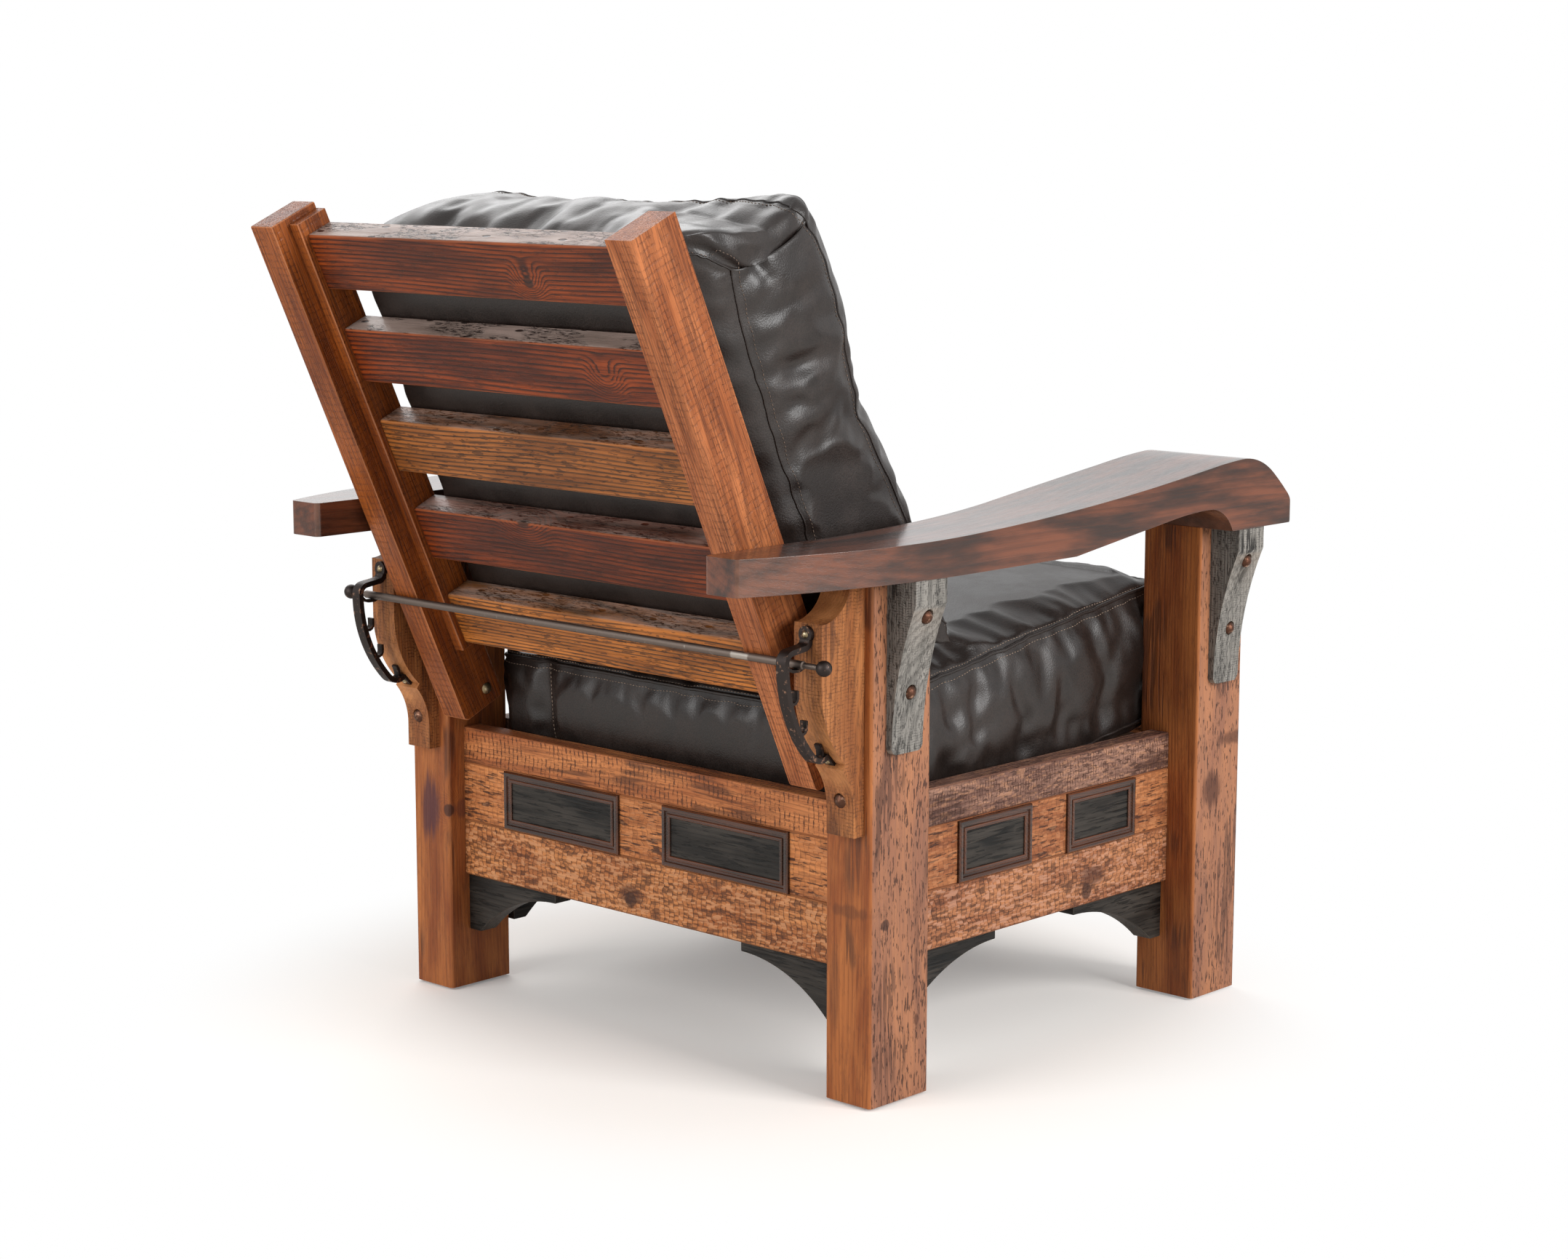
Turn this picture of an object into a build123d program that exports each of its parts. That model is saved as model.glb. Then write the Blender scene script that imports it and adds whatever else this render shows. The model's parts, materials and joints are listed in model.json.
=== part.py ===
from build123d import *
import math
import os

# A reclining club chair in reclaimed wood, in millimetres. It faces -Y, +Z is up, and left and right
# are the sitter's: left is +X. The pieces are made about the middle of the four posts and moved at
# the end, so that the origin lies on the floor under the middle of the whole chair.

# Frame of posts
outer_width = 784.8
outer_depth = 702.8
arm_underside = 604.0
glide_diameter = 28.0
glide_height = 3.0
rear_post_width = 69.0
rear_post_depth = 100.0
front_post_width = 88.6
front_post_depth = 92.6
post_edge_round = 5.0
contact_gap = 0.1

# Rails, each glued up from three boards
rail_top = 341.4
top_board = 45.5
middle_board = 74.9
bottom_board = 71.3
rail_thickness = 29.0
end_rail_recess = 26.0
side_rail_recess = 43.0
board_ease = 1.2
tenon_length = 24.0
tenon_thickness = 12.0
tenon_shoulder = 12.0
mortise_clearance = 0.2

# Moulding frames and black inserts on the middle boards
moulding_width = 13.5
moulding_proud = 5.0
moulding_margin = 0.7
insert_thickness = 1.4
insert_clearance = 0.15
end_frame_length_share = 0.637
end_frame_centre_share = 0.436
side_frame_length_share = 0.2636
side_frame_centre_shares = (0.274, 0.6739)
moulding_profile_shares = [
    (0, 0),
    (0, 0.62),
    (0.1, 0.94),
    (0.22, 1.0),
    (0.4, 0.92),
    (0.46, 0.5),
    (0.64, 0.42),
]
bead_crest_share = (0.82, 0.86)
bead_end_share = (1.0, 0.36)

# Arched brackets under the rails
bracket_thickness = 27.0
bracket_drop = 73.5
bracket_tip = 12.5
bracket_foot = 21.0
bracket_length = 163.0
side_bracket_length = 180.0
end_bracket_recess = 31.0
side_bracket_recess = 50.0

# Arms
arm_thickness = 41.0
arm_rear_overhang = 196.6
arm_nose_overhang = 35.6
arm_crest_rise = 87.2
arm_crest_setback = 75.4
arm_climb_start_reach = 48.6
arm_climb_end_setback = 139.9
arm_climb_drop = 6.2
arm_arch_rise = 30.6
arm_arch_setback = 139.4
arm_foot_length = 121.0
arm_arch_turn_setback = 211.4
arm_arch_turn_drop = 4.8
arm_arch_end_share = 0.5711
arm_side_overhang = 46.1
arm_rear_outer_inset = 17.4
arm_rear_inner_gap = 3.6
arm_inner_overhang = 13.8
arm_sweep_start_share = 0.8415
arm_inner_rear_share = 0.8842
arm_inner_front_share = 0.2439
arm_corner_round = 8.0
arm_overrun = 6.0
nose_shares = [(0.604, 0.759), (0.892, 0.436), (0.995, 0.115)]
nose_heel_share = 0.94

# Corbels on the posts' outer faces
corbel_thickness = 52.5
corbel_reach = 42.0
corbel_block = 27.0
corbel_length = 198.0
corbel_foot = 8.0
corbel_hollow = 9.0
corbel_corner_round = 9.0
corbel_bolt_drops = [42.0, 129.0]
bolt_head_diameter = 17.0
bolt_head_height = 4.6
bolt_shank_diameter = 8.0
bolt_shank_length = 46.0
bolt_seat_clearance = 0.3
bolt_hole_clearance = 0.1
bolt_seat_depth = 3.2

# Back frame, tilted about its pivots
back_tilt = 24.4
pivot_setback = 26.4
pivot_rise = 54.6
stile_gap = 5.0
stile_width = 40.2
stile_front = 21.5
stile_back = 48.0
stile_foot = 21.0
stile_top = 660.0
stile_corner_round = 8.0
cleat_width = 16.0
cleat_back = 24.0
cleat_bottom = 72.0
cleat_top = 652.0
slat_count = 5
slat_height = 70.0
slat_back = 16.0
slat_top = 635.0
slat_pitch = 121.5
slat_ease = 2.0
pivot_pin_diameter = 10.0
pivot_running_clearance = 0.05
pivot_pin_depth = 40.0
pivot_head_diameter = 15.0
pivot_head_height = 4.0
washer_diameter = 25.0
washer_clearance = 0.15

# Rack blocks on the rear posts
block_width = 41.0
block_inset = 31.9
block_reach = 69.5
block_top_reach = 23.0
block_shoulder_drop = 42.7
block_face_rise = 94.0
block_curve_radius = 121.0
block_nose_rise = 5.6
block_ledge_out = 4.0
block_ledge_drop = 5.6
block_foot_reach = 16.3
block_foot_drop = 51.0
block_bottom_drop = 80.0
block_bolt_drop = 40.0

# Cross rod
rod_diameter = 9.5
rod_along_stile = 158.5
rod_clearance = 0.3
rod_past_strap = 4.5
rod_neck_diameter = 6.6
rod_neck_round = 1.4
knob_diameter = 18.0
knob_stand_off = 28.7

# Iron racks, with hooks that make four notches
strap_width = 14.0
strap_thickness = 6.4
strap_reach = 43.0
strap_curve_radius = 155.0
strap_curve_start = 1.5
strap_curve_angle = 44.0
strap_elbow_radius = 9.5
strap_neck_rise = 17.0
strap_neck_radius = 9.0
strap_neck_fall = 2.5
ear_diameter = 19.0
ear_thickness = 5.0
ear_rise = 31.0
ear_screw_diameter = 9.0
ear_screw_height = 2.4
ear_screw_shank = 4.0
ear_screw_length = 25.0
hook_thickness = 3.2
hook_width = 9.0
hook_clearance = 0.3
hook_angles = [14.8, 29.6]
hook_rise = 7.5
last_hook_rise = 12.0
last_hook_base = 6.0
last_hook_lean = 4.5
foot_plate_thickness = 3.5
foot_plate_half_angle = 4.4
foot_screw_angle = 44.0
foot_screw_diameter = 8.0

# Seat deck and its cushion
seat_slope = 7.64
deck_clearance = 0.3
deck_slat_thickness = 16.0
deck_slat_width = 62.0
deck_slat_count = 6
deck_end_gap = 2.4
deck_front = 45.0
deck_rear_gap = 52.8
ledger_width = 25.0
ledger_height = 32.0
ledger_end_clearance = 4.0
cushion_side_gap = 3.8
seat_cushion_overhang = 48.0
seat_cushion_rear_gap = 22.8
seat_cushion_height = 184.0
seat_crown = 24.0
seat_side_crown = 9.0
seat_front_bulge = 10.0
seat_rear_bulge = 6.0
cushion_draw_in = 5.0

# Back cushion, in the tilted frame of the back
back_cushion_gap = 0.6
back_cushion_rise = 0.6
back_cushion_back_top = 604.0
back_cushion_crest = 627.0
back_cushion_crest_depth = 110.0
back_cushion_shoulder = 588.0
back_cushion_shoulder_depth = 205.0
back_cushion_base_depth = 252.0
back_cushion_swell = 26.0
back_cushion_top_swell = 4.0
back_cushion_front_crown = 22.0
cushion_station_shares = [-1.0, -0.58, 0.0, 0.58, 1.0]

# Places that the sizes above give
half_width = outer_width / 2
half_depth = outer_depth / 2
rear_post_inner = half_width - rear_post_width
front_post_inner = half_width - front_post_width
rear_post_front = half_depth - rear_post_depth
front_post_back = front_post_depth - half_depth
rear_post_middle = half_depth - rear_post_depth / 2
front_post_middle = front_post_depth / 2 - half_depth
rail_middle_top = rail_top - top_board
rail_middle_bottom = rail_middle_top - middle_board
rail_bottom = rail_middle_bottom - bottom_board
end_rail_outer = half_depth - end_rail_recess
end_rail_inner = end_rail_outer - rail_thickness
side_rail_outer = half_width - side_rail_recess
side_rail_inner = side_rail_outer - rail_thickness
stile_outer = rear_post_inner - stile_gap
stile_inner = stile_outer - stile_width
cleat_inner = stile_inner - cleat_width
end_frame_length = end_frame_length_share * rear_post_inner
end_frame_centre = end_frame_centre_share * rear_post_inner
side_rail_length = rear_post_front - front_post_back
side_frame_length = side_frame_length_share * side_rail_length
arm_rear_y = half_depth + arm_rear_overhang
arm_nose_y = -half_depth - arm_nose_overhang
arm_crest_y = arm_crest_setback - half_depth
arm_climb_start_y = half_depth + arm_climb_start_reach
arm_climb_end_y = arm_climb_end_setback - half_depth
arm_arch_y = arm_arch_setback - half_depth
arm_arch_turn_y = arm_arch_turn_setback - half_depth
arm_arch_end_y = arm_arch_end_share * outer_depth - half_depth
arm_sweep_start_y = arm_sweep_start_share * outer_depth - half_depth
arm_inner_rear_y = arm_inner_rear_share * outer_depth - half_depth
arm_inner_front_y = arm_inner_front_share * outer_depth - half_depth
arm_outer_x = half_width + arm_side_overhang
arm_rear_outer_x = half_width - arm_rear_outer_inset
arm_rear_inner_x = rear_post_inner + arm_rear_inner_gap
arm_front_inner_x = front_post_inner - arm_inner_overhang
tilt = math.radians(back_tilt)
slope = math.radians(seat_slope)
pivot_y = half_depth - pivot_setback
pivot_z = rail_top + pivot_rise
block_centre_x = half_width - block_inset
block_face_bottom = pivot_z + block_face_rise
block_nose = pivot_z + block_nose_rise
block_foot_curve = pivot_z - block_foot_drop
block_bottom = pivot_z - block_bottom_drop
block_bolt_z = pivot_z - block_bolt_drop
rod_radius = rod_diameter / 2
rod_body_reach = block_centre_x + strap_width / 2 + rod_past_strap
knob_reach = rod_body_reach + knob_stand_off
rod_out = stile_back + rod_radius + rod_clearance
rod_y = pivot_y + rod_along_stile * math.sin(tilt) + rod_out * math.cos(tilt)
rod_z = pivot_z + rod_along_stile * math.cos(tilt) - rod_out * math.sin(tilt)
block_face = half_depth + block_reach
deck_slat_half_length = side_rail_inner - deck_end_gap
deck_rear = 2 * end_rail_inner - deck_rear_gap
cushion_half_width = front_post_inner - cushion_side_gap
seat_cushion_front = -seat_cushion_overhang
seat_cushion_rear = 2 * end_rail_inner - seat_cushion_rear_gap
back_frame = Pos(0, pivot_y, pivot_z) * Rot(-back_tilt, 0, 0)
seat_frame = Pos(0, -end_rail_inner, rail_top + deck_clearance) * Rot(-seat_slope, 0, 0)

pieces = {}


def block_between(x_from, x_to, y_from, y_to, z_from, z_to):
    """A plain box between two corners."""
    centre = Pos((x_from + x_to) / 2, (y_from + y_to) / 2, (z_from + z_to) / 2)
    return centre * Box(x_to - x_from, y_to - y_from, z_to - z_from)


def across(outline, x_from, x_to):
    """Extrude an outline drawn in Y and Z from one X to another."""
    return extrude(Plane.YZ.offset(x_from) * make_face(outline), x_to - x_from)


def along_depth(outline, y_from, y_to):
    """Extrude an outline drawn in X and Z from one Y to another."""
    return extrude(Plane.XZ.offset(-y_from) * make_face(outline), y_from - y_to)


def other_side(shape):
    """The same piece on the chair's right."""
    return mirror(shape, about=Plane.YZ)


def polygon(points):
    """A closed outline of straight lines."""
    return Polyline(*points, close=True)


def dome(diameter, height):
    """A domed head on its flat seat, pointing up."""
    radius = diameter / 2
    crown = RadiusArc((radius, 0), (0, height), -(radius**2 + height**2) / (2 * height))
    outline = [crown, Line((0, height), (0, 0)), Line((0, 0), (radius, 0))]
    return revolve(Plane.XZ * make_face(outline), Axis.Z)


def fastener(diameter, height, shank_diameter, shank_length):
    """A domed head with its plain shank below the seat."""
    shank = Pos(0, 0, -shank_length / 2) * Cylinder(shank_diameter / 2, shank_length)
    return dome(diameter, height) + shank


def post(width, depth, x_outer, y_middle):
    """One square post with eased long edges."""
    x_inner = x_outer - width
    y_from = y_middle - depth / 2
    body = block_between(x_inner, x_outer, y_from, y_from + depth, glide_height, arm_underside)
    return fillet(body.edges().filter_by(Axis.Z), post_edge_round)


def tenon_box(x_from, x_to, y_from, y_to, clearance):
    """The space of one rail's tenon, grown by a clearance for its mortise."""
    z_from = rail_middle_bottom + tenon_shoulder - clearance
    z_to = rail_middle_top - tenon_shoulder + clearance
    return block_between(x_from, x_to, y_from, y_to, z_from, z_to)


def end_tenon(inner_x, facing, clearance):
    """A front or rear rail's tenon in the left post; facing is 1 at the rear and -1 at the front."""
    middle = facing * (end_rail_outer - rail_thickness / 2)
    half = tenon_thickness / 2 + clearance
    return tenon_box(inner_x, inner_x + tenon_length + clearance, middle - half, middle + half, clearance)


def side_tenon(face_y, facing, clearance):
    """A side rail's tenon in the left post whose face stands at face_y."""
    middle = side_rail_outer - rail_thickness / 2
    half = tenon_thickness / 2 + clearance
    far_y = face_y + facing * (tenon_length + clearance)
    return tenon_box(middle - half, middle + half, min(face_y, far_y), max(face_y, far_y), clearance)


def bolt_place(drop, y_middle):
    """The seat of one corbel bolt on the left, square to X."""
    depth = corbel_surface(drop)
    seat = (half_width + depth - bolt_seat_depth, y_middle, arm_underside - drop)
    return Plane(origin=seat, z_dir=(1, 0, 0))


def corbel_surface(drop):
    """How far the corbel stands off the post at a height below the arm."""
    share = (drop - corbel_block) / (corbel_length - corbel_block)
    straight = corbel_reach + (corbel_foot - corbel_reach) * share
    return straight - corbel_hollow * math.sin(math.pi * share)


def corbel_bolt_holes(y_middle):
    """Holes for both bolts of one corbel, through it and into the post."""
    holes = []
    radius = bolt_shank_diameter / 2 + bolt_hole_clearance
    for drop in corbel_bolt_drops:
        depth = bolt_shank_length + bolt_hole_clearance
        holes.append(bolt_place(drop, y_middle) * Pos(0, 0, -depth / 2) * Cylinder(radius, depth))
    return holes


def make_posts():
    """Four posts with their mortises and bolt holes."""
    rear = post(rear_post_width, rear_post_depth, half_width, rear_post_middle)
    rear -= end_tenon(rear_post_inner, 1, mortise_clearance)
    rear -= side_tenon(rear_post_front, 1, mortise_clearance)
    pin_radius = pivot_pin_diameter / 2 + bolt_hole_clearance
    pin_hole = Pos(rear_post_inner + pivot_pin_depth / 2, pivot_y, pivot_z) * Rot(0, 90, 0)
    rear -= pin_hole * Cylinder(pin_radius, pivot_pin_depth + bolt_hole_clearance)
    front = post(front_post_width, front_post_depth, half_width, front_post_middle)
    front -= end_tenon(front_post_inner, -1, mortise_clearance)
    front -= side_tenon(front_post_back, -1, mortise_clearance)
    for hole in corbel_bolt_holes(rear_post_middle):
        rear -= hole
    for hole in corbel_bolt_holes(front_post_middle):
        front -= hole
    for hole in rack_block_holes():
        rear -= hole
    pieces["post_rear_left"] = rear
    pieces["post_front_left"] = front


def make_glides():
    """A round glide under each post."""
    radius = glide_diameter / 2
    spots = [
        (half_width - rear_post_width / 2, rear_post_middle),
        (half_width - front_post_width / 2, front_post_middle),
    ]
    left = [Pos(x, y, glide_height / 2) * Cylinder(radius, glide_height) for x, y in spots]
    pieces["foot_glides"] = Compound(left + [other_side(glide) for glide in left])


def rail_boards():
    """Name, bottom and top of the three boards of a rail."""
    return [
        ("top", rail_middle_top, rail_top),
        ("middle", rail_middle_bottom, rail_middle_top),
        ("bottom", rail_bottom, rail_middle_bottom),
    ]


def make_end_rails():
    """The rear and front rails between the posts."""
    for name, facing, inner_x in (("rear", 1, rear_post_inner), ("front", -1, front_post_inner)):
        for board_name, low, high in rail_boards():
            y_from = min(facing * end_rail_inner, facing * end_rail_outer)
            board = block_between(-inner_x, inner_x, y_from, y_from + rail_thickness, low, high)
            board = chamfer(board.edges().filter_by(Axis.X), board_ease)
            if board_name == "middle":
                tenon = end_tenon(inner_x, facing, 0)
                board += tenon
                board += other_side(tenon)
            pieces[f"{name}_rail_{board_name}"] = board


def make_side_rails():
    """The side rail on the left, from front post to rear post."""
    for board_name, low, high in rail_boards():
        board = block_between(side_rail_inner, side_rail_outer, front_post_back, rear_post_front, low, high)
        board = chamfer(board.edges().filter_by(Axis.Y), board_ease)
        if board_name == "middle":
            board += side_tenon(rear_post_front, 1, 0)
            board += side_tenon(front_post_back, -1, 0)
        pieces[f"left_rail_{board_name}"] = board


def moulding_frame(length):
    """A mitred frame of moulding, lying on the XY plane with its length along X."""
    height = middle_board - 2 * moulding_margin
    points = [(a * moulding_width, b * moulding_proud) for a, b in moulding_profile_shares]
    crest = (bead_crest_share[0] * moulding_width, bead_crest_share[1] * moulding_proud)
    end = (bead_end_share[0] * moulding_width, bead_end_share[1] * moulding_proud)
    bead = ThreePointArc(points[-1], crest, end)
    outline = [Polyline(*points), bead, Polyline(end, (moulding_width, 0), points[0])]
    section = make_face(outline)
    section_plane = Plane(origin=(0, -height / 2, 0), x_dir=(0, 1, 0), z_dir=(1, 0, 0))
    corner_x = length / 2
    corner_y = height / 2
    path = Polyline(
        (0, -corner_y),
        (corner_x, -corner_y),
        (corner_x, corner_y),
        (-corner_x, corner_y),
        (-corner_x, -corner_y),
        (0, -corner_y),
    )
    return sweep(section_plane * section, path=path, transition=Transition.RIGHT)


def insert_panel(length):
    """The black board inside a moulding frame."""
    inner_length = length - 2 * moulding_width - 2 * insert_clearance
    inner_height = middle_board - 2 * moulding_margin - 2 * moulding_width - 2 * insert_clearance
    return Pos(0, 0, insert_thickness / 2) * Box(inner_length, inner_height, insert_thickness)


def make_mouldings():
    """Two frames and two inserts on each rail."""
    height = (rail_middle_top + rail_middle_bottom) / 2
    for name, facing in (("rear", 1), ("front", -1)):
        frames = []
        inserts = []
        for centre_x in (-end_frame_centre, end_frame_centre):
            centre = (centre_x, facing * end_rail_outer, height)
            face = Plane(origin=centre, x_dir=(-facing, 0, 0), z_dir=(0, facing, 0))
            frames.append(face * moulding_frame(end_frame_length))
            inserts.append(face * insert_panel(end_frame_length))
        pieces[f"{name}_moulding"] = Compound(frames)
        pieces[f"{name}_inserts"] = Compound(inserts)
    frames = []
    inserts = []
    for share in side_frame_centre_shares:
        centre_y = front_post_back + share * side_rail_length
        face = Plane(origin=(side_rail_outer, centre_y, height), x_dir=(0, 1, 0), z_dir=(1, 0, 0))
        frames.append(face * moulding_frame(side_frame_length))
        inserts.append(face * insert_panel(side_frame_length))
    pieces["left_moulding"] = Compound(frames)
    pieces["left_inserts"] = Compound(inserts)


def bracket_outline(length, towards):
    """A bracket from its post's face at zero, running towards one side under the rail."""
    tip = towards * length
    foot = towards * bracket_foot
    arch = TangentArc((tip, -bracket_tip), (foot, -bracket_drop), tangent=(-towards, 0))
    return [
        Polyline((foot, -bracket_drop), (0, -bracket_drop), (0, 0), (tip, 0), (tip, -bracket_tip)),
        arch,
    ]


def make_brackets():
    """A pair of arched brackets under each rail."""
    for name, facing, inner_x in (("rear", 1, rear_post_inner), ("front", -1, front_post_inner)):
        outer_y = facing * (half_depth - end_bracket_recess)
        inner_y = outer_y - facing * bracket_thickness
        outline = bracket_outline(bracket_length, -1)
        board = along_depth(outline, min(outer_y, inner_y), max(outer_y, inner_y))
        left = Pos(inner_x, 0, rail_bottom) * board
        pieces[f"{name}_brackets"] = Compound([left, other_side(left)])
    outer_x = half_width - side_bracket_recess
    inner_x = outer_x - bracket_thickness
    rear = across(bracket_outline(side_bracket_length, -1), inner_x, outer_x)
    rear = Pos(0, rear_post_front, rail_bottom) * rear
    front = across(bracket_outline(side_bracket_length, 1), inner_x, outer_x)
    front = Pos(0, front_post_back, rail_bottom) * front
    pieces["left_brackets"] = Compound([rear, front])


def arm_side_outline():
    """The arm seen from the side: flat behind, climbing to a crest and rolling over at the nose."""
    top_rear = arm_underside + arm_thickness
    crest = arm_underside + arm_crest_rise
    nose_length = arm_crest_y - arm_nose_y
    climb_start = (arm_climb_start_y, top_rear)
    climb_end = (arm_climb_end_y, crest - arm_climb_drop)
    climb = TangentArc(climb_start, climb_end, tangent=(-1, 0))
    top = [Line((arm_rear_y, top_rear), climb_start), climb]
    last = TangentArc(climb_end, (arm_crest_y, crest), tangent=climb % 1)
    top.append(last)
    for back_share, rise_share in nose_shares:
        point = (arm_crest_y - back_share * nose_length, arm_underside + rise_share * arm_crest_rise)
        last = TangentArc(last @ 1, point, tangent=last % 1)
        top.append(last)
    heel = (arm_crest_y - nose_heel_share * nose_length, arm_underside)
    last = TangentArc(last @ 1, heel, tangent=last % 1)
    top.append(last)
    foot_back = (heel[0] + arm_foot_length, arm_underside)
    arch_top = (arm_arch_y, arm_underside + arm_arch_rise)
    arch_turn = (arm_arch_turn_y, arm_underside + arm_arch_rise - arm_arch_turn_drop)
    rise = TangentArc(arch_top, foot_back, tangent=(-1, 0))
    fall = TangentArc(arch_top, arch_turn, tangent=(1, 0))
    under = [Line(heel, foot_back), rise, fall]
    arch_end = (arm_arch_end_y, arm_underside)
    rear_foot = (arm_rear_y, arm_underside)
    under.append(Polyline(arch_turn, arch_end, rear_foot, (arm_rear_y, top_rear)))
    return top + under


def arm_plan_outline():
    """The arm seen from above: narrow behind, and swept in on its inner edge towards the front."""
    sweep_start = (arm_outer_x, arm_sweep_start_y)
    outer = TangentArc(sweep_start, (arm_rear_outer_x, arm_rear_y), tangent=(0, 1))
    inner_front = (arm_front_inner_x, arm_inner_front_y)
    inner_rear = (arm_rear_inner_x, arm_inner_rear_y)
    middle = ((arm_front_inner_x + arm_rear_inner_x) / 2, (arm_inner_front_y + arm_inner_rear_y) / 2)
    front_half = TangentArc(inner_front, middle, tangent=(0, 1))
    rear_half = TangentArc(inner_rear, middle, tangent=(0, -1))
    rest = Polyline(inner_rear, (arm_rear_inner_x, arm_rear_y), (arm_rear_outer_x, arm_rear_y))
    front = Polyline(inner_front, (arm_front_inner_x, arm_nose_y), (arm_outer_x, arm_nose_y), sweep_start)
    return [outer, rest, rear_half, front_half, front]


def make_arms():
    """The left arm, cut from its side and plan outlines, with rounded corners."""
    side = across(arm_side_outline(), arm_front_inner_x - arm_overrun, arm_outer_x + arm_overrun)
    plan = make_face(arm_plan_outline())
    sharp = [
        corner
        for corner in plan.vertices()
        if min(abs(corner.Y - arm_rear_y), abs(corner.Y - arm_nose_y)) < arm_corner_round / 2
    ]
    plan = fillet(sharp, arm_corner_round)
    above = extrude(Pos(0, 0, arm_underside - arm_overrun) * plan, arm_crest_rise + 2 * arm_overrun)
    pieces["arm_left"] = side & above


def corbel_outline():
    """A corbel seen from the front of the chair, off the post's outer face."""
    block = (corbel_reach, -corbel_block)
    foot = (corbel_foot, -corbel_length)
    middle_drop = (corbel_block + corbel_length) / 2
    middle = (corbel_surface(middle_drop), -middle_drop)
    return [
        Polyline(foot, (0, -corbel_length), (0, 0), (corbel_reach, 0), block),
        ThreePointArc(block, middle, foot),
    ]


def make_corbels():
    """A black corbel under each arm at each post, with two bolts."""
    bolts = []
    seat_radius = bolt_head_diameter / 2 + bolt_seat_clearance
    for name, y_middle in (("rear", rear_post_middle), ("front", front_post_middle)):
        y_from = y_middle - corbel_thickness / 2
        body = along_depth(corbel_outline(), y_from, y_from + corbel_thickness)
        body = Pos(half_width, 0, arm_underside) * body
        low_edges = [
            edge
            for edge in body.edges().filter_by(Axis.X)
            if edge.center().Z < arm_underside - corbel_length + corbel_foot
        ]
        body = fillet(low_edges, corbel_corner_round)
        for hole in corbel_bolt_holes(y_middle):
            body -= hole
        for drop in corbel_bolt_drops:
            place = bolt_place(drop, y_middle)
            body -= place * Pos(0, 0, corbel_reach / 2) * Cylinder(seat_radius, corbel_reach)
            head_height = bolt_head_height + bolt_seat_depth
            bolt = fastener(bolt_head_diameter, head_height, bolt_shank_diameter, bolt_shank_length)
            bolts.append(place * bolt)
        pieces[f"corbel_{name}_left"] = body
    pieces["corbel_bolts"] = Compound(bolts + [other_side(bolt) for bolt in bolts])


def rack_block_outline():
    """A rack block seen from the side: cove, flat face, swelling nose, ledge and curved foot."""
    shoulder_z = arm_underside - block_shoulder_drop
    cove_top = (half_depth + block_top_reach, arm_underside)
    shoulder = (block_face, shoulder_z)
    face_end = (block_face, block_face_bottom)
    nose_fall = block_face_bottom - block_nose
    nose_in = block_curve_radius - math.sqrt(block_curve_radius**2 - nose_fall**2)
    nose = (block_face - nose_in, block_nose)
    ledge = (nose[0] + block_ledge_out, block_nose - block_ledge_drop)
    foot = (half_depth + block_foot_reach, block_foot_curve)
    cove = TangentArc(shoulder, cove_top, tangent=(-1, 0))
    swell = TangentArc(face_end, nose, tangent=(0, -1))
    toe = TangentArc(foot, ledge, tangent=(0, 1))
    return [
        Line(shoulder, face_end),
        swell,
        Line(nose, ledge),
        toe,
        Polyline(foot, (foot[0], block_bottom), (half_depth, block_bottom)),
        Polyline((half_depth, block_bottom), (half_depth, arm_underside), cove_top),
        cove,
    ]


def block_bolt_place():
    """The seat of the bolt at the foot of a rack block, square to Y."""
    seat_y = half_depth + block_foot_reach - contact_gap
    return Plane(origin=(block_centre_x, seat_y, block_bolt_z), x_dir=(1, 0, 0), z_dir=(0, 1, 0))


def ear_screw_place():
    """The seat of the screw in a rack's upper ear."""
    seat = (block_centre_x, block_face + ear_thickness, rod_z + ear_rise)
    return Plane(origin=seat, x_dir=(1, 0, 0), z_dir=(0, 1, 0))


def block_curve_place(turn, stand_off):
    """A place on the swelling nose of the block, square to it, a turn below its flat face."""
    angle = math.radians(turn)
    out = (0, math.cos(angle), -math.sin(angle))
    reach = block_curve_radius + stand_off
    y = block_face - block_curve_radius + reach * math.cos(angle)
    z = block_face_bottom - reach * math.sin(angle)
    return Plane(origin=(block_centre_x, y, z), x_dir=(1, 0, 0), z_dir=out)


def rack_block_holes():
    """Holes for the block's bolt, which goes on into the post."""
    radius = bolt_shank_diameter / 2 + bolt_hole_clearance
    depth = bolt_shank_length + bolt_hole_clearance
    return [block_bolt_place() * Pos(0, 0, -depth / 2) * Cylinder(radius, depth)]


def screw_hole(place):
    """A hole for a rack screw."""
    depth = ear_screw_length + bolt_hole_clearance
    radius = ear_screw_shank / 2 + bolt_hole_clearance
    return place * Pos(0, 0, -depth / 2) * Cylinder(radius, depth)


def make_rack_blocks():
    """The shaped block that carries the left rack, with its bolt and its small top screw."""
    x_from = block_centre_x - block_width / 2
    body = across(rack_block_outline(), x_from, x_from + block_width)
    for hole in rack_block_holes():
        body -= hole
    seat_radius = bolt_head_diameter / 2 + bolt_seat_clearance
    body -= block_bolt_place() * Pos(0, 0, bolt_seat_depth / 2) * Cylinder(seat_radius, bolt_seat_depth)
    for place in (ear_screw_place(), block_curve_place(foot_screw_angle, foot_plate_thickness)):
        body -= screw_hole(place)
    pieces["rack_block_left"] = body
    bolt = fastener(bolt_head_diameter, bolt_head_height, bolt_shank_diameter, bolt_shank_length)
    bolt = block_bolt_place() * bolt
    pieces["rack_block_bolts"] = Compound([bolt, other_side(bolt)])


def strap_centre():
    """Centre of the strap's long curve, in Y and Z."""
    middle_reach = strap_reach - strap_thickness / 2
    return (block_face + middle_reach - strap_curve_radius, rod_z + strap_curve_start)


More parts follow.
